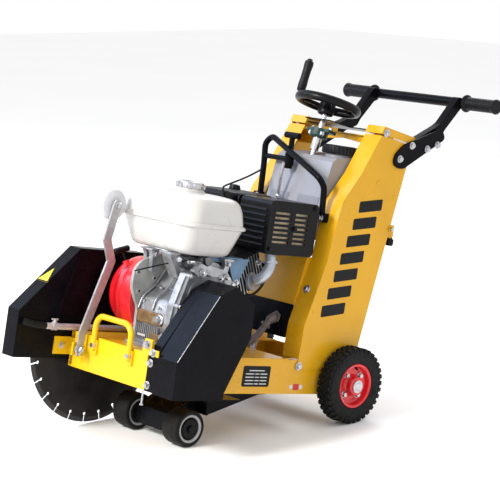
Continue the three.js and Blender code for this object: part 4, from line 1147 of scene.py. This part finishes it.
# ---- Cutting guide
def guide():
    body = "guide_arm"
    refined("guide_arm", ARM_STEEL, 1.0, body=body)
    bolts("guide_wheel_nut", facing(LEFT, on(GUIDE_WHEEL, -61)), 12, 6, 9, body=body)
    bolts("guide_pivot_nut", facing(LEFT, on(GUIDE_PIVOT, -98.8)), 17, 10, 13, body=body)
    px, pz = GUIDE_PIVOT
    handle = Shape().rod((px, -88, pz), (px + 4, -88, pz + 2), 5, 12)
    handle.sweep([(px, -86, pz), (px + 14, -86, pz - 14)], 4, 4, 12)
    handle.piece("guide_clamp", ZINC, body=body)
    profile = [(5.4, 0.5), (16, 0), (30, 1), (36, 3), (39, 7), (40, 12), (39.4, 18)]
    profile += [(36.5, 22.5), (30, 25), (22, 26.2), (12, 26.4), (5.4, 26.4)]
    wheel = Shape().turned(profile, on(GUIDE_WHEEL, -101.7), LEFT, 56)
    wheel.piece("guide_roller", NYLON, ("guide_wheel",), body="guide_wheel")


# ---- Water
def water():
    """Water tank with its ribs, darker band and lid, the supply hose and the pipe to the blade."""
    tank = refined("water_tank", TANK, 9.0)
    tank.modifiers["edges"].segments = 5
    ribs = Shape()
    for z, x in ((414, 120.6), (430, 117.2)):
        ribs.sweep([(x - 60, 107.6, z), (x - 4, 107.6, z), (x + 0.2, 92, z), (x + 0.2, 20, z)], 3.0, 12, 12)
        ribs.sweep([(x + 0.2, -20, z), (x + 0.2, -86, z), (x - 4, -99.6, z), (x - 60, -99.6, z)], 3.0, 12, 12)
    ribs.piece("tank_ribs", TANK)
    # A darker copy of the tank colour, in a band across the tank's front.
    strip = [(112.9, 448), (107.9, 476), (108.5, 476), (113.5, 448)]
    band = Shape().slab(strip, 18, 96).slab(strip, -88, -18)
    band.piece("tank_darker_band", TANK_BAND, bevel=0.2)
    profile = [(39.4, 0), (47, 0), (48, 2), (48, 18), (46, 22), (41, 24), (33, 24.5), (31, 22)]
    lid = Shape().turned(profile + [(0, 22), (0, 14), (39.4, 14)], (*LID_AT, 593.6), UP, 56)
    for rib in circle(LID_AT, 47.7, 30):
        lid.rod((*rib, 596), (*rib, 612), 2.0, 8)
    lid.piece("tank_lid", PLASTIC, ("water_tank_lid",), body="water_tank_lid")
    hose_path = [(250, 34, 72), (230, 38, 74), (210, 48, 96), (198, 57, 122), (190, 62, 138), (184, 64, 145)]
    hose = Shape().sweep(hose_path, lambda t: 9.4 + 0.9 * math.sin(t * 190), 24, 24)
    hose.piece("supply_hose", HOSE, ("water_hose",))
    elbow = Shape().sweep([(190, 62, 138), (184, 64, 146), (175, 67, 150)], 12, 8, 20)
    elbow.turned(tube(0, 17, 0, 5), (172, 68, 150), (1, 0, 0.19), 6)
    elbow.turned(tube(12.2, 13.4, -4, 4), (196, 58, 127), (0.43, -0.28, -0.86), 24)
    elbow.piece("hose_elbow", HOSE, bevel=0.6)
    y = PIPE_Y
    pipe = Shape().sweep([(442, y, 66.4), (700, y, 66.4), (746, y, 67)], 8.2, 30, 24)
    pipe.turned(tube(0, 10.5, -9, 9), (715, y, 66.6), FRONT, 6)
    pipe.rod((715, y, 66), (715, y, 84), 5)
    pipe.box(706, 724, y - 3, y + 3, 82, 86)
    pipe.piece("spray_pipe", PIPE, ("water_pipe",), 0.6)
    tip = [(742, y, 67), (770, y - 0.5, 69), (800, y - 2.5, 74), (806, y - 4, 76)]
    Shape().sweep(tip, 8.6, 20, 24).piece("pipe_nose", RUBBER)


for build in (sheet_metal, tower_fixings, tower_marks, tow_handle, front_fixings, guard_details):
    build()
for wheel_name, wheel_side in (("left", 1), ("right", -1)):
    rear_wheel(wheel_name, wheel_side)
    front_wheel(wheel_name, wheel_side)
for build in (rear_axle, swing_arm, blade, drive, crankcase, case_front, engine_linkage, cylinder_and_head,
              covers, starter_grip, fuel_tank, muffler, handwheel, hoop, handlebar, guide, water):
    build()
